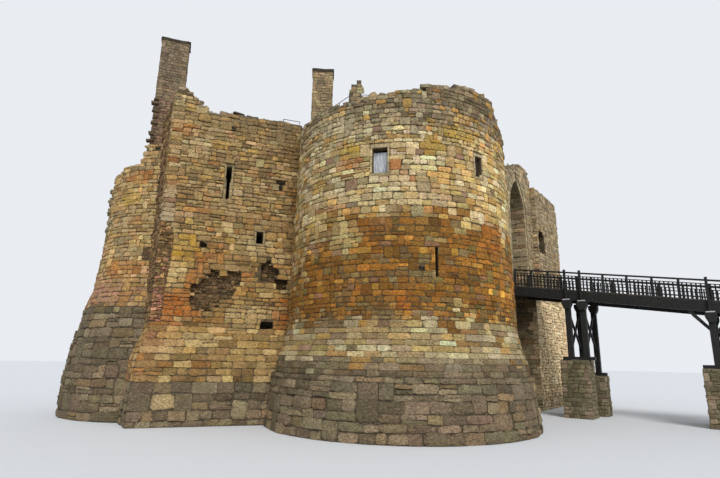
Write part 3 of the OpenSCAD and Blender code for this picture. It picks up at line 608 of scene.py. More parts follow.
# The drum's parapet: rough grey-brown rubble, broken off unevenly, with the loose stones
# of its core lying along the top, and the flagged roof behind it.
def file_arrises(piece, offset, segments):
    bpy.ops.object.mode_set(mode="EDIT")
    bpy.ops.mesh.select_all(action="SELECT")
    bpy.ops.mesh.bevel(offset=offset, segments=segments)
    bpy.ops.object.mode_set(mode="OBJECT")
    return piece


rubble_block = take_down(file_arrises(new_cube(), 0.13, 1))


def unit(vectors):
    return vectors / np.linalg.norm(vectors, axis=1, keepdims=True)


def pile_blocks(centres, along, sizes, tints, rough=0.02, tilt=0.08):
    """Whole blocks, each with its middle, its long direction in plan, and its three sizes."""
    centres, along, sizes = np.array(centres), np.array(along), np.array(sizes)
    base, sides = rubble_block
    n, k = len(centres), len(base)
    x = np.c_[along, np.zeros(n)]
    x = unit(x + rng.normal(0, tilt, x.shape))
    z = np.array([0.0, 0.0, 1.0]) + rng.normal(0, tilt, (n, 3))
    y = unit(np.cross(z, x))
    z = np.cross(x, y)
    local = base[None] * sizes[:, None] + rng.normal(0, rough, (n, k, 3))
    spread = sum(local[..., i:i + 1] * axis[:, None] for i, axis in enumerate((x, y, z)))
    tint = (np.array(tints)[:, None] * rng.normal(1, 0.05, (n, k, 1))).reshape(-1, 3)
    return (centres[:, None] + spread).reshape(-1, 3), copied_faces(sides, n, k), tint


def ragged_top(place, u0, u1, foot, crest, thick, tint_of):
    """Courses of whole rubble along a wall's broken top, from its foot line up to its crest."""
    longs, heights, depth, lap = (0.24, 0.46), (0.14, 0.24), 0.34, 0.12
    centres, along, sizes = [], [], []
    rows = max(1, round(thick / depth))
    for row in range(rows):
        u = u0
        while u < u1:
            step = rng.uniform(*longs)
            middle = min(u + step / 2, u1)
            low = foot(middle) - lap
            high = max(crest(middle) + rng.normal(0, 0.035), low + 0.13)
            layers = max(1, round((high - low) / rng.uniform(*heights)))
            h = (high - low) / layers
            d = -(row + 0.5) * thick / rows + 0.02
            for layer in range(layers):
                z = low + layer * h + h / 2
                left, right = place(middle - 0.05, z, d), place(middle + 0.05, z, d)
                centres.append((left + right) / 2)
                along.append((right - left)[:2] / 0.1)
                sizes.append([step * 1.02, thick / rows * rng.uniform(0.95, 1.1), h * 1.06])
            u += step
    centres = np.array(centres)
    return pile_blocks(centres, along, sizes, tint_of(centres))


# the rim's height over every 15 degrees of the round, from -180 degrees on
rim_heights = [15.0, 15.05, 15.0, 14.8, 14.65, 14.7, 14.56, 14.72, 14.87, 15.22, 15.5, 15.5,
               14.55, 14.3, 14.35, 14.6, 14.7, 14.55, 14.4, 14.6, 14.75, 14.6, 14.7, 14.8]
rim_middles = [15 * i - 172.5 for i in range(24)]


def rim_built(u):
    return rim_heights[int(((math.degrees(u / drum_mean) + 540) % 360) // 15)]


def rim_crest(u):
    turn = math.degrees(u / drum_mean)
    return float(np.interp(turn, rim_middles, rim_heights, period=360)) + 0.02


parapet_tints = mixed_stone([(140, 126, 102), (122, 108, 86), (160, 146, 118), (104, 92, 74),
                             (156, 126, 84)], (1.2, 1.0, 0.7, 0.5, 0.4), 0.09, 0.3)
parapet_skin = stone_skin("parapet_rubble", grain=44.0, lichen=0.4, moss=0.4, bump=0.45)
dark_mortar = stone_skin("weathered_core", grain=50.0, lichen=0.08, moss=0.6, bump=0.6, bleach=0.15,
                         colour=(0.125, 0.098, 0.065))
dress(dark_mortar, "drum_parapet_a", "drum_parapet_b")
rim_cells = set_courses(*drum_round, 12.5, 15.6, (0.16, 0.26), (0.20, 0.50), drum_holes,
                        top=rim_built, joint=0.022, wave=0.04)
drum_rubble = drum_clad(rim_cells, proud=(0.036, 0.016), rough=0.016, worn=0.85)
finish_piece("drum_upper_rubble", drum_rubble, drum_skin, "drum_stone")


def inner_face(centre, radius):
    """A round wall seen from inside, where u runs the other way round."""
    def place(u, z, d):
        turn, reach = -u / radius, radius - d
        return np.stack([centre[0] + reach * np.cos(turn), centre[1] + reach * np.sin(turn), z], -1)

    return place


drum_inner, drum_roof = 4.75, 13.9
inner_cells = set_courses(-drum_inner * math.pi, drum_inner * math.pi, drum_roof, 15.6,
                          (0.2, 0.3), (0.3, 0.6),
                          top=lambda u: rim_built(-u / drum_inner * drum_mean))
inside = lay_stones(inner_cells, inner_face((0, 0), drum_inner), parapet_tints(inner_cells),
                    proud=(0.02, 0.01))
crest = ragged_top(drum_face, *drum_round, rim_built, rim_crest, 0.72, parapet_tints)
finish_piece("drum_parapet_rubble", join_pieces(inside, crest), parapet_skin, "parapet_stone")


def inside_outline(points, outline):
    x, y = points[..., 0], points[..., 1]
    within = np.zeros(x.shape, bool)
    for (xa, ya), (xb, yb) in sides_of(outline):
        crosses = (ya > y) != (yb > y)
        within ^= crosses & (x < (xb - xa) * (y - ya) / ((yb - ya) or 1e-9) + xa)
    return within


def arc(radius, degrees, centre=(0, 0)):
    turns = [math.radians(a) for a in degrees]
    return [(centre[0] + radius * math.cos(a), centre[1] + radius * math.sin(a)) for a in turns]


def cells_in(cells, outline):
    return [cell for cell in cells if inside_outline(np.array(cell).mean(0), outline)]


flag_tints = mixed_stone([(138, 130, 114), (118, 112, 98), (152, 140, 116)], (1.0, 1.0, 1.0))


def flag_floor(outline, z, size=(0.5, 0.95), turn=0.0):
    """Worn flagstones over a floor's outline, laid in rows that run at a turn."""
    c, s = math.cos(turn), math.sin(turn)
    local = [(x * c + y * s, -x * s + y * c) for x, y in outline]
    us, vs = zip(*local)
    cells = set_courses(min(us), max(us), min(vs), max(vs), (0.4, 0.62), size, wave=0.0, joint=0.02)
    cells = [cell for cell in cells if inside_outline(np.array(cell), local).all()]

    def place(u, v, d):
        return np.stack([u * c - v * s, u * s + v * c, z + d], -1)

    return lay_stones(cells, place, flag_tints(cells), proud=(0.02, 0.004), rough=0.006, worn=0.1)


paving_skin = stone_skin("worn_flags", grain=30.0, lichen=0.3, moss=0.5, bump=0.25)
dress(dark_mortar, "drum_roof_deck", "drum_upper_floor", "square_roof_deck", "square_floor",
      "west_floor", "far_block_floor", "gate_passage_floor")
drum_flags = flag_floor(arc(4.7, range(0, 360, 10)), drum_roof, turn=0.6)
finish_piece("drum_roof_flags", drum_flags, paving_skin, "paving_stone")


# The two chimney stacks and the stub of wall at the stair head: small brownish-grey rubble
# in thin courses, each stack closed by a dark slab that weather has furred over.
def flat_face(p, q, batter=((0, 0),)):
    """A flat wall face from p to q, seen from outside with p at the left."""
    p, q = np.array(p, float), np.array(q, float)
    run = (q - p) / np.linalg.norm(q - p)
    out = np.array([run[1], -run[0]])
    levels, offsets = zip(*batter)

    def place(u, z, d):
        reach = np.interp(z, levels, offsets) + d
        return np.stack([p[i] + run[i] * u + out[i] * reach for i in (0, 1)] + [z + 0 * u], -1)

    return place


def between(p, q):
    return math.hypot(q[0] - p[0], q[1] - p[1])


def wall(p, q, foot, head, holes=(), top=None):
    """One flat wall of a group, seen from outside, and what isn't built of it."""
    return p, q, foot, head, holes, top


def clad(cells, place, tint_of, **how):
    """Stones in the cells of one face, each tinted by where it stands."""
    middle = np.array(cells).mean(1)
    return lay_stones(cells, place, tint_of(place(middle[:, 0], middle[:, 1], 0 * middle[:, 0])),
                      **how)


def face_stones(walls, tint_of, height, width, joint=0.011, wave=0.018, **how):
    parts, lap = [], 0.02
    for p, q, foot, head, holes, top in walls:
        cells = set_courses(-lap, between(p, q) + lap, foot, head, height, width, holes, top,
                            joint=joint, wave=wave)
        parts.append(clad(cells, flat_face(p, q), tint_of, **how))
    return join_pieces(*parts)


def ring_of(corners, foot, head):
    return [wall(p, q, foot, head) for p, q in sides_of(corners)]


def turned_box(start, turn, w, d):
    c, s = math.cos(math.radians(turn)), math.sin(math.radians(turn))
    box = oblong(-w / 2, w / 2, 0, d)
    return [(start[0] + x * c - y * s, start[1] + x * s + y * c) for x, y in box]


chimney_mix = mixed_stone([(128, 112, 90), (108, 92, 74), (148, 132, 104), (92, 78, 64),
                           (140, 112, 82)], (1.2, 1.0, 0.6, 0.5, 0.4), 0.085, 0.6)


def chimney_tints(spots):
    """The west stack is brown, redder at its foot; the drum's is paler and yellower."""
    tints = chimney_mix(spots)
    drum_side = (spots[:, :1] > -6) * 1.0
    foot = (1 - drum_side) * drop_between(spots[:, 2:], 16.0, 19.0)
    return tints * (1 + drum_side * np.array([0.55, 0.52, 0.34])
                    + foot * np.array([0.06, -0.1, -0.14]))


chimney_skin = stone_skin("chimney_rubble", grain=52.0, lichen=0.25, bump=0.4, moss=0.35)
dress(dark_mortar, "drum_chimney", "west_chimney_stack", "stair_head_wall")
drum_stack_head, west_stack_head = 19.25, 21.25
drum_stack_plan = turned_box((-3.59, -2.58), 41, 1.12, 0.8)
west_stack_plan = turned_box((-10.85, -7.635), 56.11, 1.5, 0.8)
# below 14.3 m the towers' own walls stand in front of three sides of the west stack
west_stack_feet = [[oblong(0.1, 2, 13, 14.3)], [oblong(-1, 2, 13, 14.3)],
                   [oblong(-1, 0.88, 13, 14.3)], ()]
west_stack_sides = [
    wall(*side, 13.2, west_stack_head, feet)
    for side, feet in zip(sides_of(west_stack_plan), west_stack_feet)
]
stacks = face_stones(ring_of(drum_stack_plan, drum_roof, drum_stack_head) + west_stack_sides,
                     chimney_tints, (0.13, 0.22), (0.18, 0.42), proud=(0.02, 0.008), rough=0.008,
                     worn=0.6)


def stair_stub_top(u):
    return float(np.interp(u, [0.91, 0.92, 1.04, 1.05, 1.33, 1.34, 1.58, 1.59],
                           [15.9, 17.04, 17.08, 17.56, 17.56, 17.82, 17.82, 15.9]))


stub_low, stub_head, stub_length = 15.9, 17.82, 2.03
stair_from, stair_to, stair_across = (-2.2, -3.35), (-0.6, -2.1), (-0.369, 0.473)
back_to, back_from = [(x + stair_across[0], y + stair_across[1]) for x, y in (stair_to, stair_from)]
stub = face_stones([
    wall(stair_from, stair_to, drum_roof, stub_head, (), stair_stub_top),
    wall(stair_to, back_to, drum_roof, stub_low),
    wall(back_to, back_from, drum_roof, stub_head, (),
         lambda u: stair_stub_top(stub_length - u)),
    wall(back_from, stair_from, drum_roof, stub_low),
], chimney_tints, (0.14, 0.24), (0.2, 0.45), proud=(0.02, 0.008), worn=0.6)

# toothing stones left up the west stack's corner, where the square tower's wall broke away
front_run = (0.5576, 0.8301)
teeth, teeth_z = [], 14.35
while teeth_z < 17.6:
    teeth.append((west_stack_plan[0][0] + rng.uniform(-0.01, 0.03),
                  west_stack_plan[0][1] + rng.uniform(0.0, 0.3), teeth_z))
    teeth_z += rng.uniform(0.2, 0.44)
tooth_sizes = [(rng.uniform(0.2, 0.42), 0.34, rng.uniform(0.11, 0.2)) for _ in teeth]
toothing = pile_blocks(teeth, [front_run] * len(teeth), tooth_sizes,
                       [stone_colour(92, 78, 60)] * len(teeth), tilt=0.12)
finish_piece("chimney_and_stub_stones", join_pieces(stacks, stub, toothing), chimney_skin,
             "chimney_stone")

cap_skin = stone_skin("cap_slab", grain=40.0, lichen=0.25, moss=0.6, bump=0.9,
                      colour=(0.095, 0.078, 0.055))


def cap_slab(name, plan, z):
    """A slab, its edge nibbled by weather, lapped over the stack and rounded on top."""
    sunk, thick, lap = 0.07, 0.2, 0.06
    slab = new_cube()
    slab.name = name
    bpy.ops.object.mode_set(mode="EDIT")
    bpy.ops.mesh.select_all(action="SELECT")
    bpy.ops.mesh.subdivide(number_cuts=13)
    bpy.ops.object.mode_set(mode="OBJECT")
    (ax, ay), (bx, by), _, (dx, dy) = plan
    grow_x = 1 + 2 * lap / between(plan[0], plan[1])
    grow_y = 1 + 2 * lap / between(plan[0], plan[3])
    for vert in slab.data.vertices:
        x, y, height = vert.co
        edge = max(abs(x), abs(y)) * 2
        wear = 1 - 0.04 * math.sin(9 * x + 17 * height) * edge - rng.uniform(0, 0.035) * edge
        px, py = 0.5 + x * grow_x * wear, 0.5 + y * grow_y * wear
        lift = 0.5 + height
        if height >= 0.49:
            lift = 1 - 0.35 * edge ** 3 + 0.12 * math.sin(11 * (x + 0.5) + 5 * (y + 0.5))
        level = z - sunk + thick * min(lift + rng.uniform(-0.05, 0.05), 1.03)
        vert.co = (ax + (bx - ax) * px + (dx - ax) * py,
                   ay + (by - ay) * px + (dy - ay) * py, level)
    bpy.ops.object.shade_smooth()
    slab.data.materials.append(cap_skin)
    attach(slab, "root")
    return slab


west_cap = cap_slab("west_stack_cap", west_stack_plan, west_stack_head)
cap_slab("drum_chimney_cap", drum_stack_plan, drum_stack_head)
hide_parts("chimney_caps")


# The drum's windows: pale dressed jambs, head and sill round each, a weathered board that
# shuts the left one with a gap left over it, upright iron bars in the small right one,
# and a plain dressed slit below.
def opening_cells(u, w, z0, z1, side, head, sill, rows):
    """Cells of the dressed stones round an opening: jambs, head and sill."""
    gap, cells = 0.006, []
    left, right = u - w / 2, u + w / 2
    for row in range(rows):
        a, b = z0 + (z1 - z0) * row / rows + gap, z0 + (z1 - z0) * (row + 1) / rows - gap
        cells.append(oblong(left - side + gap, left - gap, a, b))
        cells.append(oblong(right + gap, right + side - gap, a, b))
    for a, b, out in ((z1, z1 + head, side), (z0 - sill, z0, side + 0.04)):
        cells.append(oblong(left - out, right + out, a + gap, b - gap))
    return cells


dressed_tints = mixed_stone([(178, 158, 118), (160, 140, 102), (190, 172, 134)], (1.0, 0.8, 0.6),
                            0.06, 0.3)
window_cells = opening_cells(at(board_side), 0.68, 10.92, 12.10, 0.10, 0.18, 0.18, 3)
window_cells += opening_cells(at(bars_side), 0.42, 11.12, 12.09, 0.09, 0.16, 0.14, 3)
slit_foot, slit_course, slit_edge, slit_joint, slit_cells = 6.33, 0.325, 0.062, 0.006, []
for row in range(4):
    low, high = slit_foot + slit_course * row, slit_foot + slit_course * (row + 1)
    for way, reach in ((-1, 0.34 if row % 2 else 0.22), (1, 0.2 if row % 2 else 0.36)):
        a, b = sorted((at(slit_side) + way * slit_edge, at(slit_side) + way * reach))
        slit_cells.append(oblong(a, b, low + slit_joint, high - slit_joint))
surround = lay_stones(window_cells, drum_face, dressed_tints(window_cells), proud=(0.05, 0.003),
                      rough=0.003, worn=0.0)
slit_dressing = drum_clad(slit_cells, proud=(0.04, 0.003), rough=0.003, worn=0.0)
finish_piece("drum_window_dressings", join_pieces(surround, slit_dressing), drum_skin, "drum_stone")


def grained_skin(name, dark, light, scale, detail, ends=(0, 1), harsh=0.5, stretch=None, dull=None,
                 relief=None, tinted=False, **values):
    """Metal or timber: one noise gives its two shades, its dullness and the relief of its grain."""
    skin, surface, new, link = plain_skin(name, **values)
    where = new("ShaderNodeTexCoord").outputs["Object"]
    if stretch:
        along = set_dials(new("ShaderNodeMapping"), Scale=stretch)
        link(where, along.inputs["Vector"])
        where = along.outputs["Vector"]
    noise = set_dials(new("ShaderNodeTexNoise"), Scale=scale, Detail=detail, Roughness=harsh)
    link(where, noise.inputs["Vector"])
    grain = noise.outputs["Fac"]
    shade = new("ShaderNodeValToRGB")
    for spot, position, colour in zip(shade.color_ramp.elements, ends, (dark, light)):
        spot.position, spot.color = position, (*colour, 1)
    link(grain, shade.inputs["Fac"])
    colour = shade.outputs["Color"]
    if tinted:
        tint, vary = new("ShaderNodeAttribute"), new("ShaderNodeMix")
        tint.attribute_name = "stone_tint"
        vary.data_type, vary.blend_type = "RGBA", "MULTIPLY"
        set_dials(vary, Factor=1.0)
        link(colour, vary.inputs["A"])
        link(tint.outputs["Color"], vary.inputs["B"])
        colour = vary.outputs["Result"]
    link(colour, surface.inputs["Base Color"])
    if dull:
        rough = set_dials(new("ShaderNodeMapRange"), To_Min=dull[0], To_Max=dull[1])
        link(grain, rough.inputs["Value"])
        link(rough.outputs["Result"], surface.inputs["Roughness"])
    if relief:
        bump = set_dials(new("ShaderNodeBump"), Strength=relief[0], Distance=relief[1])
        link(grain, bump.inputs["Height"])
        link(bump.outputs["Normal"], surface.inputs["Normal"])
    return skin


iron = grained_skin("dull_iron", (0.045, 0.05, 0.055), (0.16, 0.11, 0.075), 30, 6, (0.45, 0.75),
                    dull=(0.45, 0.85), Metallic=0.6)
board_paint = grained_skin("weathered_board", (0.20, 0.22, 0.24), (0.70, 0.71, 0.70), 3, 8,
                           (0.36, 0.64), stretch=(14, 14, 1.2), relief=(0.3, 0.01), Roughness=0.8)
dress(board_paint, "drum_window_board")


def round_bar(sides, radius, length, middle, turn, arris):
    bpy.ops.object.select_all(action="DESELECT")
    bpy.ops.mesh.primitive_cylinder_add(vertices=sides, radius=radius, depth=length,
                                        location=middle, rotation=turn)
    bar = file_arrises(bpy.context.object, arris, 2)
    bpy.ops.object.transform_apply(location=True, rotation=True, scale=True)
    return bar


def weld(name, bars):
    """Joins iron bars into one piece."""
    bpy.ops.object.select_all(action="DESELECT")
    for bar in bars:
        bar.select_set(True)
    bpy.context.view_layer.objects.active = bars[0]
    bpy.ops.object.join()
    piece = bpy.context.object
    piece.name = name
    piece.data.materials.clear()
    piece.data.materials.append(iron)
    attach(piece, "root")
    return piece


bars_reach, bars_turn, bars = 5.33, math.radians(bars_side), []
for k in range(3):
    turn = bars_turn + (k - 1) * 0.105 / 5.3
    spot = (bars_reach * math.cos(turn), bars_reach * math.sin(turn), 11.605)
    bars.append(round_bar(12, 0.013, 0.99, spot, (0, 0, turn), 0.003))
for z in (11.36, 11.85):
    spot = (bars_reach * math.cos(bars_turn), bars_reach * math.sin(bars_turn), z)
    flat_bar = new_cube(spot, (0, 0, bars_turn))
    flat_bar.scale = (0.012, 0.44, 0.035)
    bpy.ops.object.transform_apply(location=True, rotation=True, scale=True)
    bars.append(file_arrises(flat_bar, 0.003, 1))
weld("window_bars", bars)

# The canted square tower: squared ochre and tan stone with long and short quoins at the top
# of its outer corner, whose lower stones were robbed, and two scars and some small holes
# where the facing has fallen from the rubble core.
corner, front_end = (-7.9, -9.0), (-4.3, -3.64)
return_end, rear_start, rear_end = (-10.16, -8.04), (-5.15, 2.0), (-11.0, -1.5)
foot_batter = ((0, 0.65), (2.9, 0.5), (4.3, 0), (17, 0))
square_front = flat_face(corner, front_end, foot_batter)
square_palette = [
    (158, 134, 92), (138, 118, 84), (176, 138, 74), (164, 104, 48), (176, 126, 96),
    (204, 184, 140), (104, 80, 50),
]
square_marks = [
    (0.6, 14.3, 0.7, 0.35, rust, 0.6), (2.6, 13.7, 0.35, 0.3, gold, 0.8),
    (0.3, 12.7, 0.4, 0.25, rust, 0.7), (0.4, 9.6, 0.5, 0.3, rose, 0.7),
    (1.2, 8.1, 0.7, 0.9, gold, 0.7), (2.5, 7.7, 0.7, 0.35, rust, 0.7),
    (4.7, 8.6, 0.8, 0.8, cream, 0.55), (1.2, 5.4, 0.9, 0.6, rust, 0.8),
    (4.4, 5.0, 1.2, 0.7, cream, 0.5), (6.2, 5.2, 0.5, 1.0, rust, 0.7),
    (6.3, 14.0, 0.5, 1.2, umber, 0.6), (0.85, 6.7, 0.4, 0.6, cream, 0.7),
    (0.6, 3.6, 1.2, 0.6, rose, 0.25), (1.7, 3.7, 1.3, 0.5, cream, 0.4),
    (3.6, 15.2, 2.6, 0.4, ash, 0.5), (6.3, 10.5, 0.4, 2.0, umber, 0.5),
    (3.0, 11.0, 1.6, 1.0, cream, 0.25),
]


def square_tints(spots):
    x, y, z = spots.T
    u = (x - corner[0]) * front_run[0] + (y - corner[1]) * front_run[1]
    out = (x - corner[0]) * front_run[1] - (y - corner[1]) * front_run[0]
    low = drop_between(z, 6.5, 9.0)
    above_foot = rise_between(z, 4.0, 4.7)
    near_corner = drop_between(u, 1.5, 3.0)
    orange = low * (0.3 + 0.7 * above_foot) * near_corner
    orange = orange + 0.35 * patches(u, z, 2) * drop_between(z, 11, 13)
    pink = (0.5 + 0.5 * above_foot) * drop_between(z, 5.0, 6.5)
    pink = pink * drop_between(u, 0.5, 1.2)
    rocky = drop_between(z, 1.6, 2.8)
    squared = 1 - rocky
    tints = pick_tints([
        1.0 - 0.5 * orange, 0.6 + 0.7 * rise_between(z, 10, 13), 0.7 * squared,
        1.3 * orange * squared, 1.4 * pink,
        0.35 + 0.3 * patches(u, z, 7) + 0.9 * rise_between(z, 12.0, 14.0) * near_corner,
        0.35 + 1.6 * rocky,
    ], square_palette, 0.09, 0.5)
    fall = rise_between(z, 6.0, 12.0)[:, None]
    less = np.array([0.08, 0.16, 0.32]) * (1 - fall) + np.array([0.1, 0.16, 0.24]) * fall
    in_front = (out > -0.05)[:, None]
    return np.where(in_front, daub(tints, u, z, square_marks), tints) * (1 - less)


def outline_top(points):
    us, zs = zip(*points)
    return lambda u: float(np.interp(u, us, zs))


front_top = outline_top([
    (0, 16.25), (0.3, 16.6), (0.52, 16.6), (0.925, 16.2), (1.47, 15.58), (2.0, 15.46),
    (2.875, 15.56), (6.6, 15.6),
])
scar = [
    (1.77, 5.2), (1.97, 5.05), (2.52, 5.1), (2.7, 5.25), (3.0, 5.4), (3.0, 5.66), (3.38, 5.68),
    (3.6, 5.9), (3.73, 6.3), (3.97, 6.66), (3.95, 6.98), (3.88, 7.25), (3.28, 7.18), (3.22, 6.97),
    (2.88, 6.9), (2.88, 7.2), (2.48, 7.2), (2.48, 6.95), (2.24, 6.8), (2.05, 6.6), (1.6, 6.38),
    (1.61, 5.6),
]
broken = [
    (4.83, 6.74), (5.1, 6.75), (5.4, 6.69), (5.7, 6.64), (5.75, 6.36), (6.18, 6.38), (6.28, 6.66),
    (6.31, 6.93), (5.68, 6.92), (5.84, 7.22), (5.8, 7.42), (5.42, 7.64), (5.38, 7.88), (4.8, 7.8),
    (4.81, 7.38), (4.6, 7.22), (4.58, 7.08),
]
robbed = [
    (-0.04, 4.55), (0.42, 4.55), (0.44, 5.25), (0.46, 6.3), (0.57, 7.2), (0.62, 8.5), (0.5, 9.1),
    (0.3, 9.42), (-0.04, 9.42),
]
put_hole = [(1.86, 8.24), (2.32, 8.28), (2.1, 8.48), (1.86, 8.56)]
shallow = [(5.16, 5.54), (5.7, 5.56), (5.72, 5.78), (5.4, 5.86), (5.2, 5.8)]
low_hole, loop_hole = oblong(5.03, 5.67, 4.3, 4.76), oblong(2.73, 3.19, 10.75, 12.7)
square_gaps = [oblong(2.9, 3.12, 14.6, 14.86), oblong(5.4, 5.92, 12.0, 12.24),
               oblong(5.56, 5.76, 11.66, 12.0)]
quoin_foot, quoin_width = 9.4, 0.52
front_holes = [
    scar, broken, put_hole, low_hole, loop_hole, oblong(4.46, 5.0, 8.56, 9.42),
    oblong(-1, quoin_width, quoin_foot, 17), robbed, *square_gaps, shallow,
]
front_cells = set_courses(0, 6.6, 4.6, 10.4, (0.19, 0.32), (0.22, 0.62), front_holes, top=front_top,
                          joint=0.022, wave=0.03)
front_cells += set_courses(0, 6.6, 10.4, 16.6, (0.15, 0.27), (0.20, 0.58), front_holes,
                           top=front_top, joint=0.026, wave=0.035)
left_of_foot = [(-3, -1), (-0.54, -1), (-0.54, 0), (-0.41, 2.9), (0, 4.3), (0, 4.7), (-3, 4.7)]
foot_cells = set_courses(-0.56, 6.6, 1.9, 4.6, (0.24, 0.36), (0.35, 0.9), [low_hole, left_of_foot],
                         tall=0.0)
rock_courses = dict(height=(0.26, 0.44), width=(0.4, 0.95), tall=0.1, joint=0.02, wave=0.05)
rock_cells = set_courses(-0.56, 6.3, 0, 1.9, holes=[left_of_foot], **rock_courses)
foot_look = dict(proud=(0.04, 0.012), rough=0.014, worn=0.6)
front_stones = clad(front_cells, square_front, square_tints, proud=(0.042, 0.02), rough=0.014,
                    worn=0.7)
foot_stones = clad(foot_cells, square_front, square_tints, **foot_look)

# the robbed corner: a strip of the small rubble behind the lost corner stones
core_tints = mixed_stone([(114, 88, 58), (94, 70, 46), (130, 98, 64), (80, 62, 44), (142, 112, 74)],
                         (1.0, 1.0, 0.7, 0.7, 0.4), 0.11, 0.3)
kept_side = [(0.42, 4.4), (1, 4.4), (1, 9.6), (0.3, 9.6)] + robbed[-2:0:-1]
robbed_cells = set_courses(-0.04, 0.66, 4.6, 9.4, (0.10, 0.19), (0.12, 0.30), [kept_side],
                           joint=0.03, wave=0.05)
robbed_low = drop_between(np.array(robbed_cells).mean(1)[:, 1], 5.4, 6.6)
robbed_tints = pick_tints(
    [1 - 0.6 * robbed_low, 0.9 - 0.5 * robbed_low, 0.7 - 0.3 * robbed_low, 0.6 - 0.4 * robbed_low,
     0.15 + 2 * robbed_low],
    [(142, 108, 66), (120, 90, 54), (168, 134, 88), (104, 78, 48), (172, 118, 94)], 0.11, 0.3)
robbed_stones = lay_stones(robbed_cells, square_front, robbed_tints, proud=(0.038, 0.03),
                           rough=0.02, worn=0.85)
shallow_cells = set_courses(5.16, 5.72, 5.54, 5.86, (0.09, 0.14), (0.12, 0.26), wave=0.03,
                            joint=0.025)
shallow_cells = cells_in(shallow_cells, shallow)
# the rubble of the shallow loss is tinted 0.8 times darker: painted shade in its hollow
shallow_stones = lay_stones(shallow_cells, square_front, core_tints(shallow_cells) * 0.8,
                            proud=(0.018, 0.008), rough=0.016, worn=0.8)

return_l = between(return_end, corner)
square_return = flat_face(return_end, corner, foot_batter)
beside_quoins = oblong(return_l - quoin_width, return_l + 1, quoin_foot, 17)
return_cells = set_courses(-0.9, return_l, 4.6, 16.0, (0.15, 0.28), (0.18, 0.50), [beside_quoins],
                           joint=0.022, wave=0.04)
right_of_foot = [(return_l - u, z) for u, z in left_of_foot]
return_foot = set_courses(-1.2, return_l + 0.56, 1.9, 4.6, (0.24, 0.36), (0.35, 0.8),
                          [right_of_foot], tall=0.0)
# the return's rubble is tinted 1.3 times brighter: painted light on a face that turns away from the
# sun
return_stones = lay_stones(return_cells, square_return, core_tints(return_cells) * 1.3,
                           proud=(0.045, 0.028), rough=0.018, worn=0.8)
return_feet = clad(return_foot, square_return, square_tints, **foot_look)
rear_l = between(rear_start, rear_end)
square_rear = flat_face(rear_start, rear_end, foot_batter)
rear_cells = set_courses(-0.3, rear_l + 0.3, 2.4, 14.9, (0.25, 0.40), (0.34, 0.82))
rear_stones = clad(rear_cells, square_rear, square_tints, worn=0.5)
quoin_mix = mixed_stone([(172, 148, 112), (150, 126, 92), (188, 168, 130), (164, 120, 82)],
                        (1.0, 0.8, 0.6, 0.5), 0.06, 0.35)


def quoin_tints(spots):
    """Paler than the wall low down, and like it above, where all is weathered alike."""
    plain = rise_between(spots[:, 2], 10.0, 12.0)[:, None]
    return quoin_mix(spots) * (1 - plain) + square_tints(spots) * plain


def quoins(place, mirrored, head):
    """Long and short dressed blocks up a corner; place is a face that starts or ends there."""
    short, long, lap = 0.5, 0.58, 0.035
    cells, z, row = [], quoin_foot, 0
    while z < head - 0.1:
        step = min(0.235 + 0.055 * math.sin(3.1 * row), head - z)
        reach = (long if (row % 2 == 0) != mirrored else short) - 0.006
        a, b = (-reach, lap) if mirrored else (-lap, reach)
        cells.append(oblong(a, b, z + 0.01, z + step - 0.012))
        z += step
        row += 1
    return clad(cells, place, quoin_tints, proud=(0.042, 0.012), rough=0.012, worn=0.6)


front_quoins = quoins(square_front, False, 16.25)
side_quoins = quoins(lambda u, z, d: square_return(u + return_l, z, d), True, 16.0)
square_skin = stone_skin("square_tower_sandstone", lichen=0.3, bump=0.42)
square_facing = join_pieces(front_stones, foot_stones, return_stones, return_feet, rear_stones,
                            front_quoins, side_quoins, robbed_stones, shallow_stones)
finish_piece("square_tower_stones", square_facing, square_skin, "square_stone")
dress(mortar, "square_front_wall", "square_front_openings", "square_return_wall",
      "square_rear_wall")

return_rock = set_courses(-1.2, return_l + 0.56, 0, 1.9, holes=[right_of_foot], **rock_courses)
rear_rock = set_courses(-0.2, rear_l + 0.2, 0, 2.4, **rock_courses)
square_feet = join_pieces(lay_rock(rock_cells, square_front), lay_rock(return_rock, square_return),
                          lay_rock(rear_rock, square_rear))
finish_piece("square_tower_footing_stones", square_feet, footing_skin, "footing_stone")


# The bared core of the square tower: the broken rubble and mortar at the back of its two
# scars, with a few loose stones of the facing still held round their edges.
def core_in(outline, depth, loose):
    us, zs = zip(*outline)
    cells = set_courses(min(us), max(us), min(zs), max(zs), (0.10, 0.20), (0.16, 0.40), wave=0.03,
                        joint=0.02)
    cells = cells_in(cells, outline)
    place = flat_face(corner, front_end, ((0, -depth), (20, -depth)))
    # the rubble is tinted 0.85 times darker: painted shade at the back of the hollow
    back = lay_stones(cells, place, core_tints(cells) * 0.85, proud=(0.055, 0.035), rough=0.02,
                      worn=0.8)
    middle = (sum(us) / len(us), sum(zs) / len(zs))
    spots = []
    for k in range(loose):
        t = k / loose * len(outline)
        (ua, za), (ub, zb) = sides_of(outline)[int(t)]
        u, z = ua + (ub - ua) * (t % 1), za + (zb - za) * (t % 1)
        inward = rng.uniform(0.0, 0.1)
        spots.append((u + (middle[0] - u) * inward, z + (middle[1] - z) * inward))
    centres = [square_front(u, z, rng.uniform(-0.26, -0.1)) for u, z in spots]
    sizes = [(rng.uniform(0.14, 0.28), rng.uniform(0.16, 0.26), rng.uniform(0.08, 0.16))
             for _ in spots]
    edge = pile_blocks(centres, [front_run] * loose, sizes, loose_tints(spots), tilt=0.14)
    return join_pieces(back, edge)


loose_tints = mixed_stone([(140, 112, 72), (108, 84, 56), (172, 142, 96), (150, 96, 52)],
                          (1.0, 0.8, 0.9, 0.4), 0.1, 0.2)
scar_core = join_pieces(core_in(scar, 0.28, 16), core_in(broken, 0.45, 6))
core_skin = stone_skin("bared_core", grain=46.0, lichen=0.1, moss=0.5, bump=0.6)
finish_piece("square_tower_bared_core", scar_core, core_skin, "square_stone")

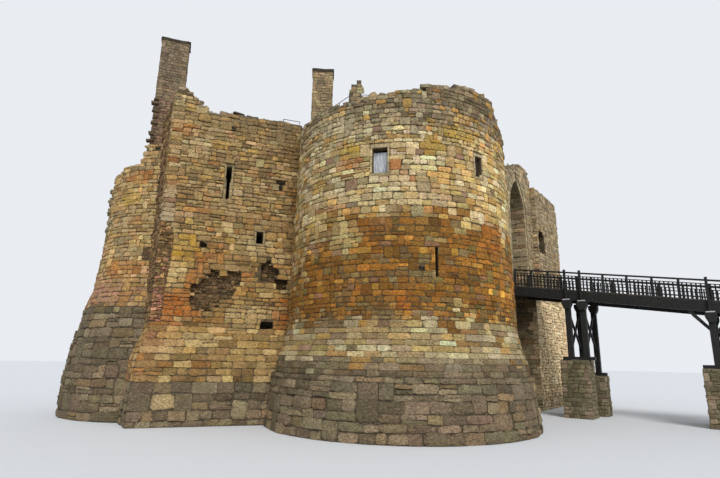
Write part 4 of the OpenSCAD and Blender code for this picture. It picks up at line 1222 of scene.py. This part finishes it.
# The square tower's broken top and roof: the wall heads end in loose rubble, with two thin
# slabs lying on the front one, and worn flags cover the roof behind them.
square_roof = 14.6
front_inner = (front_end[0] - 1.245, front_end[1] + 0.836), (corner[0] - 0.8, corner[1] + 2.2)
square_tops = join_pieces(
    ragged_top(flat_face(corner, front_end), 0.1, 6.3, front_top, lambda u: front_top(u) + 0.02,
               1.4, parapet_tints),
    ragged_top(flat_face(return_end, corner), -0.2, return_l - 0.1, lambda u: 16.0,
               lambda u: 16.0 + 0.1 * u, 1.4, parapet_tints),
    ragged_top(flat_face(rear_start, rear_end), 0.0, rear_l, lambda u: 14.9,
               lambda u: 15.1 + 0.2 * math.sin(u), 1.3, parapet_tints),
    face_stones([wall(*front_inner, square_roof, 15.45)], parapet_tints, (0.2, 0.3), (0.3, 0.55)),
)
slab_spots = [square_front(u, z, -0.3) for u, z in ((3.2, 15.66), (3.82, 15.62))]
loose_slabs = pile_blocks(slab_spots, [front_run] * 2, [(0.62, 0.75, 0.09), (0.42, 0.6, 0.09)],
                          [stone_colour(84, 76, 66)] * 2, rough=0.012, tilt=0.07)
finish_piece("square_tower_broken_top", join_pieces(square_tops, loose_slabs), parapet_skin,
             "parapet_stone")
square_plan = [(-8.3, -6.4), (-5.5, -2.3), (-5.0, 0.4), (-9.4, -2.3)]
finish_piece("square_tower_roof_flags", flag_floor(square_plan, square_roof, turn=0.98),
             paving_skin, "paving_stone")

# The square tower's openings: small dressed stones round the window and up both sides of
# the keyhole loop, and the put-log and drain holes that show only as dark gaps.
(loop_left, loop_foot), (loop_right, _), *_ = loop_hole
loop_middle, loop_course, loop_joint = 2.96, 0.325, 0.005
opening_stones = opening_cells(4.73, 0.34, 8.68, 9.30, 0.10, 0.12, 0.12, 2)
for row in range(6):
    low, high = loop_foot + loop_course * row, loop_foot + loop_course * (row + 1)
    half = 0.092 if high < 11.95 else 0.152
    for left, right in ((loop_left, loop_middle - half), (loop_middle + half - 0.02, loop_right)):
        opening_stones.append(oblong(left, right, low + loop_joint, high - loop_joint))
loop_tints = mixed_stone([(150, 132, 96), (132, 116, 88), (166, 146, 104)], (1.0, 1.0, 1.0))
loop_dressings = lay_stones(opening_stones, square_front, loop_tints(opening_stones),
                            proud=(0.045, 0.003), rough=0.004, worn=0.0)
square_dressings = join_pieces(loop_dressings, dark_gaps(square_gaps, square_front))
finish_piece("square_tower_opening_dressings", square_dressings, square_skin, "square_stone")

# The small round west tower: ochre, yellow and pink rubble over a long splayed foot, its
# wall broken down step by step towards the outside.
west_middle, west_mean = (-12.6, -5.0), 3.95
west_line = [(0, 5.0), (1.8, 4.95), (3.25, 4.8), (5.3, 4.4), (6.5, 4.1), (8.5, 3.9), (10, 3.85),
             (17, 3.85)]
west_face = round_face(west_middle, west_line, west_mean)
west_heights = [11.7, 11.6, 11.5, 11.8, 12.15, 12.9, 13.2, 13.2, 14.3, 14.3, 14.2, 14.1,
                14.0, 14.0, 13.9, 13.7, 13.5, 13.2, 12.9, 12.6, 12.3, 12.0, 11.9, 11.8]


def west_at(degrees):
    return math.radians(degrees) * west_mean


def west_built(u):
    turn = (math.degrees(u / west_mean) + 180) % 360 - 180
    return 14.3 if -66 <= turn < -60 else west_heights[int((turn + 180) // 15)]


def west_crest(u):
    """As the drum's, but with the one sharp step beside the west stack."""
    turns = rim_middles[:7] + [-72.5, -67, -65, -52.5] + rim_middles[9:]
    heights = west_heights[:7] + [13.2, 13.6, 14.25] + west_heights[8:]
    return float(np.interp(math.degrees(u / west_mean), turns, heights, period=360)) + 0.02


west_palette = [
    (180, 150, 96), (194, 168, 118), (168, 128, 66), (152, 100, 48), (182, 134, 100),
    (124, 104, 78), (104, 86, 60),
]
west_marks = [
    (-70, 12.5, 1.0, 0.4, rust, 0.7), (-75, 11.3, 0.7, 0.4, gold, 0.8),
    (-112, 10.1, 0.8, 0.4, cream, 0.7), (-108, 8.6, 0.5, 0.3, rose, 0.8),
    (-75, 7.4, 1.2, 0.5, rust, 0.6), (-95, 6.2, 1.4, 0.6, rose, 0.7),
    (-62, 10.0, 0.5, 0.6, umber, 0.6), (-120, 12.0, 0.8, 1.0, ash, 0.6),
]


def west_tints(spots):
    x, y, z = spots.T
    low = drop_between(z, 6.2, 8.4)
    rocky = drop_between(z, 4.4, 6.0)
    squared = 1 - rocky
    orange = low + 0.5 * patches(x + y, z, 4)
    top = rise_between(z, 12.2, 13.6)
    turn = np.arctan2(y - west_middle[1], x - west_middle[0])
    tints = pick_tints([
        1.1 * squared, (0.7 - 0.4 * low) * squared, 0.8 * squared,
        orange * 0.9 * squared, low * 0.6 * squared, 0.3 + 0.8 * top + 1.5 * rocky,
        0.15 + 0.3 * top + 1.3 * rocky,
    ], west_palette, 0.085, 0.5)
    marks = [(west_at(turned), *mark) for turned, *mark in west_marks]
    tints = daub(tints, turn * west_mean, z, marks)
    return tints * (1 - 0.12 * low[:, None]) * np.array([1.04, 1.06, 1.15])


west_round = (west_at(-180), west_at(180))
joined_side = oblong(west_at(-47), west_at(61), 0, 14.5)
beam_hole = oblong(west_at(-58), west_at(-53.5), 14.0, 14.27)
recess = oblong(west_at(-57.5), west_at(-52), 7.9, 8.55)
west_cells = set_courses(*west_round, 5.4, 14.3, (0.17, 0.30), (0.20, 0.54),
                         [joined_side, beam_hole, recess], top=west_built, joint=0.02, wave=0.03)
west_stones = clad(west_cells, west_face, west_tints, worn=0.6)
recess_cells = set_courses(recess[0][0], recess[1][0], 7.9, 8.55, (0.10, 0.16), (0.12, 0.26),
                           joint=0.03, wave=0.04)
# the rubble in the recess is tinted 0.85 times darker: painted shade in the recess
west_gaps = join_pieces(
    lay_stones(recess_cells, west_face, core_tints(recess_cells) * 0.85, proud=(0.02, 0.012),
               rough=0.016, worn=0.8),
    dark_gaps([beam_hole], west_face))
# stones of the facing that hang loose on the broken side
loose_turns = [(math.radians(rng.uniform(-134, -100)), 9.8 + 0.17 * i) for i in range(15)]
loose_reach = 3.86
loose_stones = pile_blocks(
    [(west_middle[0] + loose_reach * math.cos(a), west_middle[1] + loose_reach * math.sin(a), z)
     for a, z in loose_turns],
    [(-math.sin(a), math.cos(a)) for a, _ in loose_turns],
    [(rng.uniform(0.3, 0.5), rng.uniform(0.2, 0.36), rng.uniform(0.13, 0.22)) for _ in loose_turns],
    [stone_colour(128, 116, 92)] * len(loose_turns))
west_skin = stone_skin("west_tower_sandstone", bump=0.42)
west_facing = join_pieces(west_stones, west_gaps, loose_stones)
finish_piece("west_tower_stones", west_facing, west_skin, "west_stone")
west_rock = set_courses(*west_round, 0, 5.4, (0.27, 0.46), (0.4, 1.0), [joined_side], tall=0.12,
                        joint=0.02, wave=0.07)
finish_piece("west_tower_footing_stones", lay_rock(west_rock, west_face), footing_skin,
             "footing_stone")
dress(mortar, "west_wall_a", "west_wall_b", "west_party_wall", "west_top_a", "west_top_b")

# The inside of the west tower: the bared inner face above its floor, the room's walls below
# the break, the rubble along the broken head and worn flags.
west_inner, west_floor = 2.448, 9.7
west_inner_face = inner_face(west_middle, west_inner)
west_inner_cells = set_courses(-west_inner * math.pi, west_inner * math.pi, 11.3, 14.3,
                               (0.22, 0.34), (0.28, 0.6),
                               top=lambda u: west_built(-u / west_inner * west_mean))
room_plan = arc(2.65, range(210, -150, -45), west_middle)
west_room = face_stones(ring_of(room_plan, west_floor, 11.3), west_tints, (0.22, 0.34), (0.28, 0.6),
                        worn=0.6)
west_inside = join_pieces(
    clad(west_inner_cells, west_inner_face, west_tints, worn=0.6), west_room,
    ragged_top(west_face, *west_round, west_built, west_crest, 1.34, west_tints))
finish_piece("west_tower_inner_stones", west_inside, west_skin, "west_stone")
west_flags = flag_floor(arc(2.5, range(0, 360, 20), west_middle), west_floor, turn=0.2)
finish_piece("west_tower_floor_flags", west_flags, paving_skin, "paving_stone")

# The gatehouse: grey-tan rubble walls pierced by one tall pointed arch with two orders of
# dressed stones, a bridge pit below it, a passage behind it and the broken far block.
rear, front, far_front, foot_front = -3.7, 2.5, 2.85, 2.95
near_jamb, far_jamb, arch_width, block, end = 9.8, 12.6, 2.8, 14.2, 19.44
gate_start, side_room, far_end = 4.9, 8.4, 19.5
footing_head, sill, spring, passage, block_floor = 7.34, 7.36, 13.05, 7.76, 9.7
gate_palette = [
    (154, 138, 110), (136, 120, 94), (172, 154, 120), (116, 102, 80), (184, 160, 114),
    (160, 124, 80), (226, 200, 160),
]


def gate_tints(spots):
    """Pale big stone low on the far block; painted shade in the arch's head and the bridge deck's
    painted shadow under it.
    """
    x, y, z = spots.T
    low = drop_between(z, 6.6, 7.8)
    far_low = low * (x > 2.6) * rise_between(y, 12.5, 12.7)
    rocky = drop_between(z, 1.0, 2.4)
    squared = 1 - rocky
    tints = pick_tints([
        np.full(len(z), 1.0), 0.9 - 0.4 * low, 0.6 + far_low, 0.45 - 0.3 * far_low + 0.5 * rocky,
        0.25 + 1.6 * far_low * squared, 0.25 + 0.3 * patches(y, z, 6),
        6 * far_low * squared,
    ], gate_palette, 0.085, 0.5)
    pale = (0.5 * far_low * squared)[:, None]
    arch_head_shade = (x < 2.2) * (y > 9.7) * (y < 12.7) * rise_between(z, 12.3, 13.6)
    deck_shadow = (x < 2.7) * (y < 12.7) * rise_between(z, 5.0, 6.3) * (z < 7.4)
    # painted shade in the deep head of the arch and painted shadow of the bridge deck on the walls
    # below it
    tints = tints * (1 - 0.45 * arch_head_shade - 0.62 * deck_shadow)[:, None]
    tints = tints * (1.15 + 0.55 * far_low)[:, None]
    return tints * (1 - pale) + stone_colour(226, 199, 157) * pale


gate_top = outline_top([
    (4.4, 15.6), (7.4, 15.8), (8.6, 16.0), (9.8, 16.0), (11.0, 16.5), (11.9, 16.9), (12.6, 16.98),
    (13.4, 16.98), (13.75, 16.85), (14.0, 16.25), (14.2, 16.1),
])
far_top = outline_top([
    (14.2, 15.6), (14.45, 15.6), (14.5, 15.63), (15.75, 15.66), (17.6, 15.7), (18.9, 15.6),
    (19.1, 15.45), (19.5, 14.9),
])


def pointed(y0, width, spring, out, foot):
    """The outline of a pointed opening, widened by a band of stones."""
    middle, reach, steps = y0 + width / 2, width + out, 10
    turns = [math.pi / 3 * i / steps for i in range(steps + 1)]
    left = [(min(y0 + width - reach * math.cos(a), middle), spring + reach * math.sin(a))
            for a in turns]
    right = [(2 * middle - u, z) for u, z in left[::-1]]
    return [(y0 - out, foot), *left, *right, (y0 + width + out, foot)]


def from_left(outline, start):
    return [(u - start, z) for u, z in outline]


def rear_top(u):
    """The broken rear wall's head, from the far block's end towards the drum."""
    for reach, head in ((1.5, 14.6), (5.5, 13.2), (6.9, 13.9), (9.7, 12.95), (11.1, 13.6)):
        if u < reach:
            return head
    return 7.35


gate_hole = pointed(near_jamb, arch_width, spring, 0.56, -1.0)
broken_window = [
    (14.42, 10.82), (14.40, 11.6), (14.36, 12.1), (14.5, 12.62), (14.95, 12.78), (15.3, 12.5),
    (15.85, 12.4), (15.75, 11.9), (16.0, 11.6), (15.8, 11.2), (15.95, 10.95), (15.6, 10.78),
]
back_door = [(7.35, 7.5), (7.35, 9.7), (7.55, 10.7), (8.3, 11.5), (9.05, 10.7), (9.25, 9.7),
             (9.25, 7.5)]
gate_outer = join_pieces(
    face_stones([
        wall((front, gate_start), (front, block), 0, 17.0,
             [from_left(gate_hole, gate_start), oblong(7.7, 9.5, -1, sill)],
             lambda u: gate_top(u + gate_start)),
        wall((front, block), (2.86, block), sill, 15.8),
        wall((far_front, block), (far_front, far_end), sill, 15.8,
             [from_left(broken_window, block)], lambda u: far_top(u + block)),
    ], gate_tints, (0.17, 0.29), (0.22, 0.58), rough=0.014, worn=0.7),
    face_stones([wall((foot_front, far_jamb), (foot_front, far_end), 0, footing_head)],
                gate_tints, (0.14, 0.27), (0.17, 0.44), joint=0.028, wave=0.055,
                proud=(0.05, 0.032), rough=0.024, worn=0.85),
    face_stones([
        wall((foot_front, end), (rear, end), 0, footing_head),
        wall((far_front, end), (rear, end), sill, 15.0, (), lambda u: 14.9 if u < 1.5 else 14.6),
        wall((rear, far_end), (rear, gate_start), 0, 14.6, [back_door], rear_top),
    ], gate_tints, (0.24, 0.38), (0.32, 0.8), worn=0.6),
)
gate_skin = stone_skin("gatehouse_sandstone", lichen=0.25, moss=0.35, bump=0.42)
finish_piece("gatehouse_stones", gate_outer, gate_skin, "gate_stone")
dress(mortar, "gate_pit_wall", "gate_front_wall", "gate_arch_head", "gate_side_walls",
      "gate_inner_arch", "far_block_window_wall")


# The cores of the gatehouse's footing and of the far block's front and end walls: solid
# rubble and mortar, set a joint deeper than the faces of the stones that hide them.
def wall_core(outline, low, high, upright=True):
    """An outline in plan run upwards, or one seen from the right and run in x."""
    n = len(outline)
    points = [(a, b, t) if upright else (t, a, b) for t in (low, high) for a, b in outline]
    faces = [list(range(n))[::-1], list(range(n, 2 * n))]
    faces += [[i, (i + 1) % n, n + (i + 1) % n, n + i] for i in range(n)]
    return np.array(points, float), faces, np.full((2 * n, 3), 0.1)


drum_arc = arc(5.7, range(124, 63, -5))
block_inner, room_rear, rooms_start, rooms_end = 1.35, -2.2, 14.0, 18.0
for name, cores, replaced in (
    ("gate_footing_core", [
        wall_core([(rear, 4.7), *drum_arc, (front, 5.1), (front, near_jamb), (rear, near_jamb)], 0,
                  sill),
        wall_core(oblong(rear, foot_front, far_jamb, end), 0, sill),
    ], "gate_footing"),
    ("far_block_front_core", [
        wall_core(oblong(block, 14.45, sill, 15.6), block_inner, far_front, upright=False),
        wall_core([(15.75, sill), (end, sill), (end, 14.9), (19.1, 15.45), (18.9, 15.6),
                   (17.6, 15.7), (15.75, 15.66)], block_inner, far_front, upright=False),
    ], "far_block_front"),
    ("far_block_end_core", [
        wall_core(oblong(rear, block_inner, rooms_end, end), sill, 14.6),
        wall_core(oblong(rear, room_rear, rooms_start, rooms_end), sill, 13.2),
    ], "far_block_end_walls"),
):
    points, faces, _ = join_pieces(*cores)
    finish_piece(name, (points, faces, None), mortar, "gate_stone", replaced)

# The inner walls of the gatehouse: the passage and its inner arch, the open pit below the
# bridge, the rooms beside them, the underside of the tall arch and every broken wall head.
inner_hole = from_left(pointed(10.2, 2.0, 9.75, 0.05, 7.0), 9.8)
pit, room = -0.1, 0.3
far_window = oblong(2.25, 3.55, 10.9, 12.55)
gate_inside = face_stones([
    wall((rear, far_jamb), (front, far_jamb), passage, spring),
    wall((front, near_jamb), (rear, near_jamb), passage, spring),
    wall((pit, far_jamb), (foot_front, far_jamb), 0, footing_head),
    wall((front, near_jamb), (pit, near_jamb), 0, 7.59),
    wall((pit, near_jamb), (pit, far_jamb), 0, footing_head),
    wall((-2.8, near_jamb), (-2.8, far_jamb), passage, 12.95, [inner_hole]),
    wall((rear, side_room), (room, side_room), sill, 13.6),
    wall((room, rooms_start), (rear, rooms_start), block_floor, 13.9),
    wall((rear, far_jamb), (room, far_jamb), spring, 13.9),
    wall((room, near_jamb), (rear, near_jamb), spring, 13.6),
    wall((room, side_room), (room, 5.5), sill, 16.2, (), lambda u: gate_top(side_room - u)),
    wall((room, block), (room, side_room), 13.6, 17.0, (), lambda u: gate_top(block - u)),
    wall((block_inner, rooms_end), (block_inner, block), block_floor, 15.7, [far_window],
         lambda u: far_top(rooms_end - u)),
    wall((block_inner, block), (room, block), block_floor, 16.1),
    wall((room_rear, rooms_end), (block_inner, rooms_end), block_floor, 14.6),
    wall((room_rear, rooms_start), (room_rear, rooms_end), block_floor, 13.2),
], gate_tints, (0.25, 0.38), (0.34, 0.78), worn=0.6)


def soffit(side):
    """The underside of the tall arch, from a springing up to the point."""
    def place(u, t, d):
        turn, reach = t / arch_width, arch_width - d
        y = far_jamb - reach * np.cos(turn) if side < 0 else near_jamb + reach * np.cos(turn)
        return np.stack([front - u if side < 0 else room + u, y, spring + reach * np.sin(turn)], -1)

    cells = set_courses(0, 2.2, 0, 2.92, (0.26, 0.34), (0.5, 0.8), wave=0.0, tall=0.0)
    return clad(cells, place, gate_tints, rough=0.006, worn=0.2)


gate_tops = []
for p, q, u0, u1, foot, crest, thick, tints in (
    ((front, 0), (front, 1), 5.1, block, gate_top,
     lambda y: gate_top(y) + 0.05 * math.sin(5.3 * y) + 0.05 * math.sin(13 * y), 2.1,
     parapet_tints),
    ((far_front, 0), (far_front, 1), block, 19.4, far_top,
     lambda y: far_top(y) + 0.03 + 0.06 * math.sin(4.7 * y) + 0.04 * math.sin(11 * y), 1.4,
     parapet_tints),
    ((1.3, end), (rear, end), 0, 4.9, lambda u: 14.6, lambda u: 14.75 + 0.12 * math.sin(2 * u), 1.4,
     parapet_tints),
    ((rear, rooms_end), (rear, rooms_start), 0, 3.9, lambda u: 13.2,
     lambda u: 13.3 + 0.12 * math.sin(3 * u), 1.4, parapet_tints),
    ((rear, rooms_start), (rear, far_jamb), 0, 1.4, lambda u: 13.9, lambda u: 13.95, 3.9,
     parapet_tints),
    ((rear, near_jamb), (rear, side_room), 0, 1.4, lambda u: 13.6, lambda u: 13.7, 3.9,
     parapet_tints),
    ((rear, far_jamb), (rear, near_jamb), 0, 2.8, lambda u: 12.95, lambda u: 13.05, 0.85,
     parapet_tints),
    ((foot_front, 0), (foot_front, 1), 12.65, 14.15, lambda y: 7.4,
     lambda y: 7.43 + 0.03 * math.sin(9 * y), 0.45, gate_tints),
    ((foot_front, 0), (foot_front, 1), 14.25, 19.4, lambda y: 7.4, lambda y: 7.42, 0.12,
     gate_tints),
):
    gate_tops.append(ragged_top(flat_face(p, q), u0, u1, foot, crest, thick, tints))
gate_rear = join_pieces(gate_inside, soffit(-1), soffit(1), *gate_tops)
finish_piece("gatehouse_inner_stones", gate_rear, gate_skin, "gate_stone")


# The tall arch's dressings: two orders of squared jamb stones and of wedge stones, cut
# paler and finer than the wall, the outer order standing forward of the inner one.
def arch_band(inner, outer, steps):
    """Wedge stones of one order, up both sides of the pointed arch."""
    middle, cells = (near_jamb + far_jamb) / 2, []
    for i in range(steps):
        a, b = math.pi / 3 * (i + 0.04) / steps, math.pi / 3 * (i + 0.96) / steps
        ring = [(min(far_jamb - r * math.cos(t), middle - 0.006), spring + r * math.sin(t))
                for r, t in ((outer, a), (inner, a), (inner, b), (outer, b))]
        cells.append(ring)
        cells.append([(2 * middle - ring[k][0], ring[k][1]) for k in (1, 0, 3, 2)])
    return cells


def jamb_band(inner, outer, rows):
    """Squared stones of one order, up the near jamb from the pit and the far one from the sill."""
    foot, joint, cells = 0.02, 0.005, []
    for row in range(rows):
        a = foot + (spring - foot) * row / rows + joint
        b = foot + (spring - foot) * (row + 1) / rows - joint
        cells.append(oblong(near_jamb - outer, near_jamb - inner, a, b))
        if a > footing_head:
            cells.append(oblong(far_jamb + inner, far_jamb + outer, a, b))
    return cells


arch_tints = mixed_stone([(160, 142, 110), (142, 124, 94), (174, 158, 124)], (1.0, 0.8, 0.5), 0.07,
                         0.3)
arch_stones = [
    lay_stones(cells, flat_face((front, 0), (front, 1)), arch_tints(cells), proud=(out, 0.003),
               rough=0.004, worn=0.0)
    for cells, out in ((arch_band(arch_width, 3.10, 9) + jamb_band(0.0, 0.30, 38), 0.035),
                       (arch_band(3.12, 3.35, 8) + jamb_band(0.31, 0.54, 30), 0.085))
]
finish_piece("gate_arch_dressings", join_pieces(*arch_stones), gate_skin, "gate_stone")
gate_flags = join_pieces(flag_floor(oblong(-3.6, 0.18, 9.85, 12.55), 7.75),
                         flag_floor(oblong(-2.15, 1.3, 14.25, 17.95), block_floor))
finish_piece("gate_floor_flags", gate_flags, paving_skin, "paving_stone")


# The bridge: black-stained timber. Two deep girders carry crosswise boards and railings of
# square balusters; trestles with corbelled heads, pale lead pads and iron bolts stand on
# squared stone piers.
def hewn_beams(middles, size, axis=(1, 0, 0), arris=0.012):
    """Beams with their arrises planed off, from their middles and their size or sizes."""
    base, sides = rubble_block
    middles = np.array(middles, float)
    sizes = np.broadcast_to(np.array(size, float), middles.shape)
    n, k = len(middles), len(base)
    x, y = unit(np.array([axis], float))[0], np.array([0.0, 1.0, 0.0])
    z = np.cross(x, y)
    trim = np.minimum(arris, sizes.min(1) * 0.3)[:, None, None]
    local = np.sign(base)[None] * (sizes[:, None] / 2 - trim * (np.abs(base) < 0.49)[None])
    points = middles[:, None] + local[..., :1] * x + local[..., 1:2] * y + local[..., 2:] * z
    tint = rng.normal(1, 0.12, (n, 1, 1)).clip(0.6, 1.4) * np.ones((1, k, 3))
    return points.reshape(-1, 3), copied_faces(sides, n, k), tint.reshape(-1, 3)


bridge_slope = 0.147


def deck_z(x, up=0.0):
    return 7.83 + up - (x - 2.5) * bridge_slope


def timber_skin(name, dark, light, stretch, rough, tinted=False):
    """Stained timber: long grain in a dark and a paler shade, a little bloom."""
    return grained_skin(name, dark, light, 2.2, 9, (0.35, 0.72), 0.65, stretch,
                        (rough - 0.15, rough + 0.2), (0.35, 0.008), tinted, Specular_IOR_Level=0.18)


fall = (1, 0, -bridge_slope)
stain, worn_stain, worn_legs = (0.010, 0.010, 0.009), (0.034, 0.034, 0.032), (0.038, 0.038, 0.036)
dress(timber_skin("black_stained_timber", stain, worn_stain, (3, 12, 12), 0.6), "bridge_girders")
dress(timber_skin("black_stained_legs", stain, worn_legs, (14, 14, 2), 0.6), "bridge_trestle_gate",
      "bridge_trestle_field")
upright_timber = timber_skin("black_stained_posts", stain, worn_legs, (14, 14, 2), 0.6, True)
board_timber = timber_skin("weathered_boards", (0.035, 0.03, 0.025), (0.10, 0.088, 0.072),
                           (12, 2, 12), 0.75, True)

board_width, board_step, deck_middle, deck_across = 0.144, 0.152, 10.95, 2.9
deck_xs, pit_xs = np.arange(2.595, 19.45, board_step), np.arange(0.28, 2.45, board_step)
deck_boards = hewn_beams([(x, deck_middle, deck_z(x, -0.041)) for x in deck_xs],
                         (board_width, deck_across, 0.078), fall, arris=0.006)
pit_boards = hewn_beams([(x, 11.2, 7.67) for x in pit_xs], (board_width, 2.78, 0.158),
                        arris=0.006)
finish_piece("bridge_boards", join_pieces(deck_boards, pit_boards), board_timber, "deck_timber",
             "bridge_deck")

rail_from, rail_to = 2.62, 19.44
rail_middle = (rail_to + rail_from) / 2
rail_run = (rail_to - rail_from) * math.hypot(1, bridge_slope)
rail_sizes = [(1.035, 0.12, 0.09), (0.84, 0.05, 0.045), (0.66, 0.05, 0.05), (0.135, 0.06, 0.07)]
post_xs = (2.685, 3.71, 4.73, 7.83, 9.06, 10.29, 11.52, 13.98, 15.21, 16.44, 17.67, 18.9, 19.38)
tall_xs = (5.75, 6.6, 12.75)
for side, y, tall_y in (("near", 9.605, 9.434), ("far", 12.295, 12.466)):
    rails = hewn_beams([(rail_middle, y, deck_z(rail_middle, up)) for up, _, _ in rail_sizes],
                       [(rail_run, wide, high) for _, wide, high in rail_sizes], fall)
    uprights = [
        hewn_beams([(x, line, deck_z(x, up)) for x in xs], size, arris=arris)
        for xs, line, up, size, arris in (
            (np.arange(2.86, 19.3, 0.205), y, 0.42, (0.075, 0.05, 0.85), 0.006),
            (post_xs, y, 0.525, (0.118, 0.124, 1.04), 0.012),
            (tall_xs, tall_y, 0.26, (0.128, 0.128, 1.78), 0.012),
            (tall_xs, tall_y, 1.16, (0.16, 0.13, 0.035), 0.01),
        )
    ]
    finish_piece("bridge_railing_" + side + "_timber", join_pieces(rails, *uprights),
                 upright_timber, "bridge_timber", "bridge_railing_" + side)

# The bridge's lead and iron: a pale lead pad on each corbelled leg head, and bolt heads
# along the girders and through the legs.
lead = grained_skin("dull_lead", (0.34, 0.35, 0.36), (0.62, 0.64, 0.65), 14, 7, dull=(0.45, 0.8),
                    Metallic=0.25)
heads = [(x, deck_z(x + 0.3, -0.64)) for x in (5.6, 6.45, 12.6)]
girder_faces, leg_faces, leg_lines = (9.494, 12.406), (9.324, 12.576), (9.415, 12.485)
pads = hewn_beams([(x + 0.15, y, z + 0.034) for x, z in heads for y in leg_lines],
                  (0.40, 0.165, 0.07))
finish_piece("trestle_lead_pads", pads, lead, "pale_board")

bolts = [(x, y, deck_z(x, up)) for x in np.arange(3.4, 19.2, 0.95) for y in girder_faces
         for up in (-0.2, -0.5)]
for x, z in heads:
    bolts += [(x + along, y, z - 0.12) for y in leg_faces for along in (0.05, 0.25)]
    bolts += [(x + 0.15, y, foot - (x > 12) * 0.4) for y in girder_faces for foot in (3.65, 4.6)]
finish_piece("bridge_bolt_heads", hewn_beams(bolts, (0.045, 0.03, 0.045)), iron, "railing_metal")

# The bridge's piers and abutment: squared grey stone with brown corners, each pier flagged
# on top. The abutment that closes the last bay stands on a core of its own.
pier_palette = [(116, 109, 82), (101, 95, 70), (130, 120, 92), (84, 79, 58), (148, 128, 106)]
pier_plans = [
    ((5.2, 6.7, 9.35, 10.65), 3.2), ((5.55, 7.05, 11.55, 12.6), 2.3),
    ((12.1, 13.4, 9.35, 12.5), 2.85), ((18.8, 20.34, 9.3, 12.6), 4.70),
]


def pier_tints(spots):
    x, y, z = spots.T
    edge = np.zeros(len(x))
    for (x0, x1, y0, y1), _ in pier_plans:
        near = np.minimum(abs(x - x0), abs(x - x1)) + np.minimum(abs(y - y0), abs(y - y1))
        edge = np.maximum(edge, drop_between(near, 0.15, 0.35))
    return 0.9 * pick_tints([1.0 - 0.6 * edge, 0.9 - 0.6 * edge, 0.6 + 0 * edge, 0.4 * (1 - edge),
                             0.05 + 1.6 * edge], pier_palette, 0.07, 0.5)


pier_parts, lap = [], 0.03
for (x0, x1, y0, y1), top in pier_plans:
    walls = face_stones(ring_of(oblong(x0, x1, y0, y1), 0, top), pier_tints, (0.17, 0.28),
                        (0.24, 0.5), rough=0.009, worn=0.5)
    flags = flag_floor(oblong(x0 - lap, x1 + lap, y0 - lap, y1 + lap), top, (0.4, 0.7))
    pier_parts.append(join_pieces(walls, flags))
finish_piece("bridge_pier_stones", join_pieces(*pier_parts[:3]), gate_skin, "pier_stone")
abutment_plan, abutment_head = pier_plans[3]
abutment = join_pieces(wall_core(oblong(*abutment_plan), 0, abutment_head), pier_parts[3])
finish_piece("bridge_abutment_masonry", abutment, gate_skin, "pier_stone", "bridge_abutment")
dress(mortar, "bridge_piers")

# The wall-walk railings: thin round iron bars, welded, one length on the square tower's wall
# and two beside the stair head, leaded into the stone.
square_walk = (corner, front_run, 1.33)
stair_walk = (stair_from, (0.788, 0.6156), 0.28)
walk_bars = []
for (start, run, inward), a, low, b, high in (
    (square_walk, 5.82, 15.59, 5.82, 16.47), (square_walk, 6.78, 15.59, 6.78, 16.47),
    (square_walk, 5.80, 16.04, 6.80, 16.04), (square_walk, 5.80, 16.47, 6.80, 16.47),
    (stair_walk, 0.02, 15.90, 0.02, 16.28), (stair_walk, 0.42, 15.90, 0.42, 16.60),
    (stair_walk, 0.02, 16.28, 0.90, 16.98), (stair_walk, 1.60, 15.90, 1.60, 17.10),
    (stair_walk, 2.00, 15.90, 2.00, 17.10), (stair_walk, 1.60, 17.10, 2.00, 17.10),
):
    foot, head = [
        np.array([start[0] + run[0] * u - run[1] * inward,
                  start[1] + run[1] * u + run[0] * inward, z])
        for u, z in ((a, low), (b, high))
    ]
    length = float(np.linalg.norm(head - foot))
    turn = (0, math.acos((high - low) / length), math.atan2(run[1], run[0]))
    walk_bars.append(round_bar(10, 0.019, length, (foot + head) / 2, turn, 0.005))
walk_rail = weld("wall_walk_iron_rail", walk_bars)
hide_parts("wall_walk_railing")
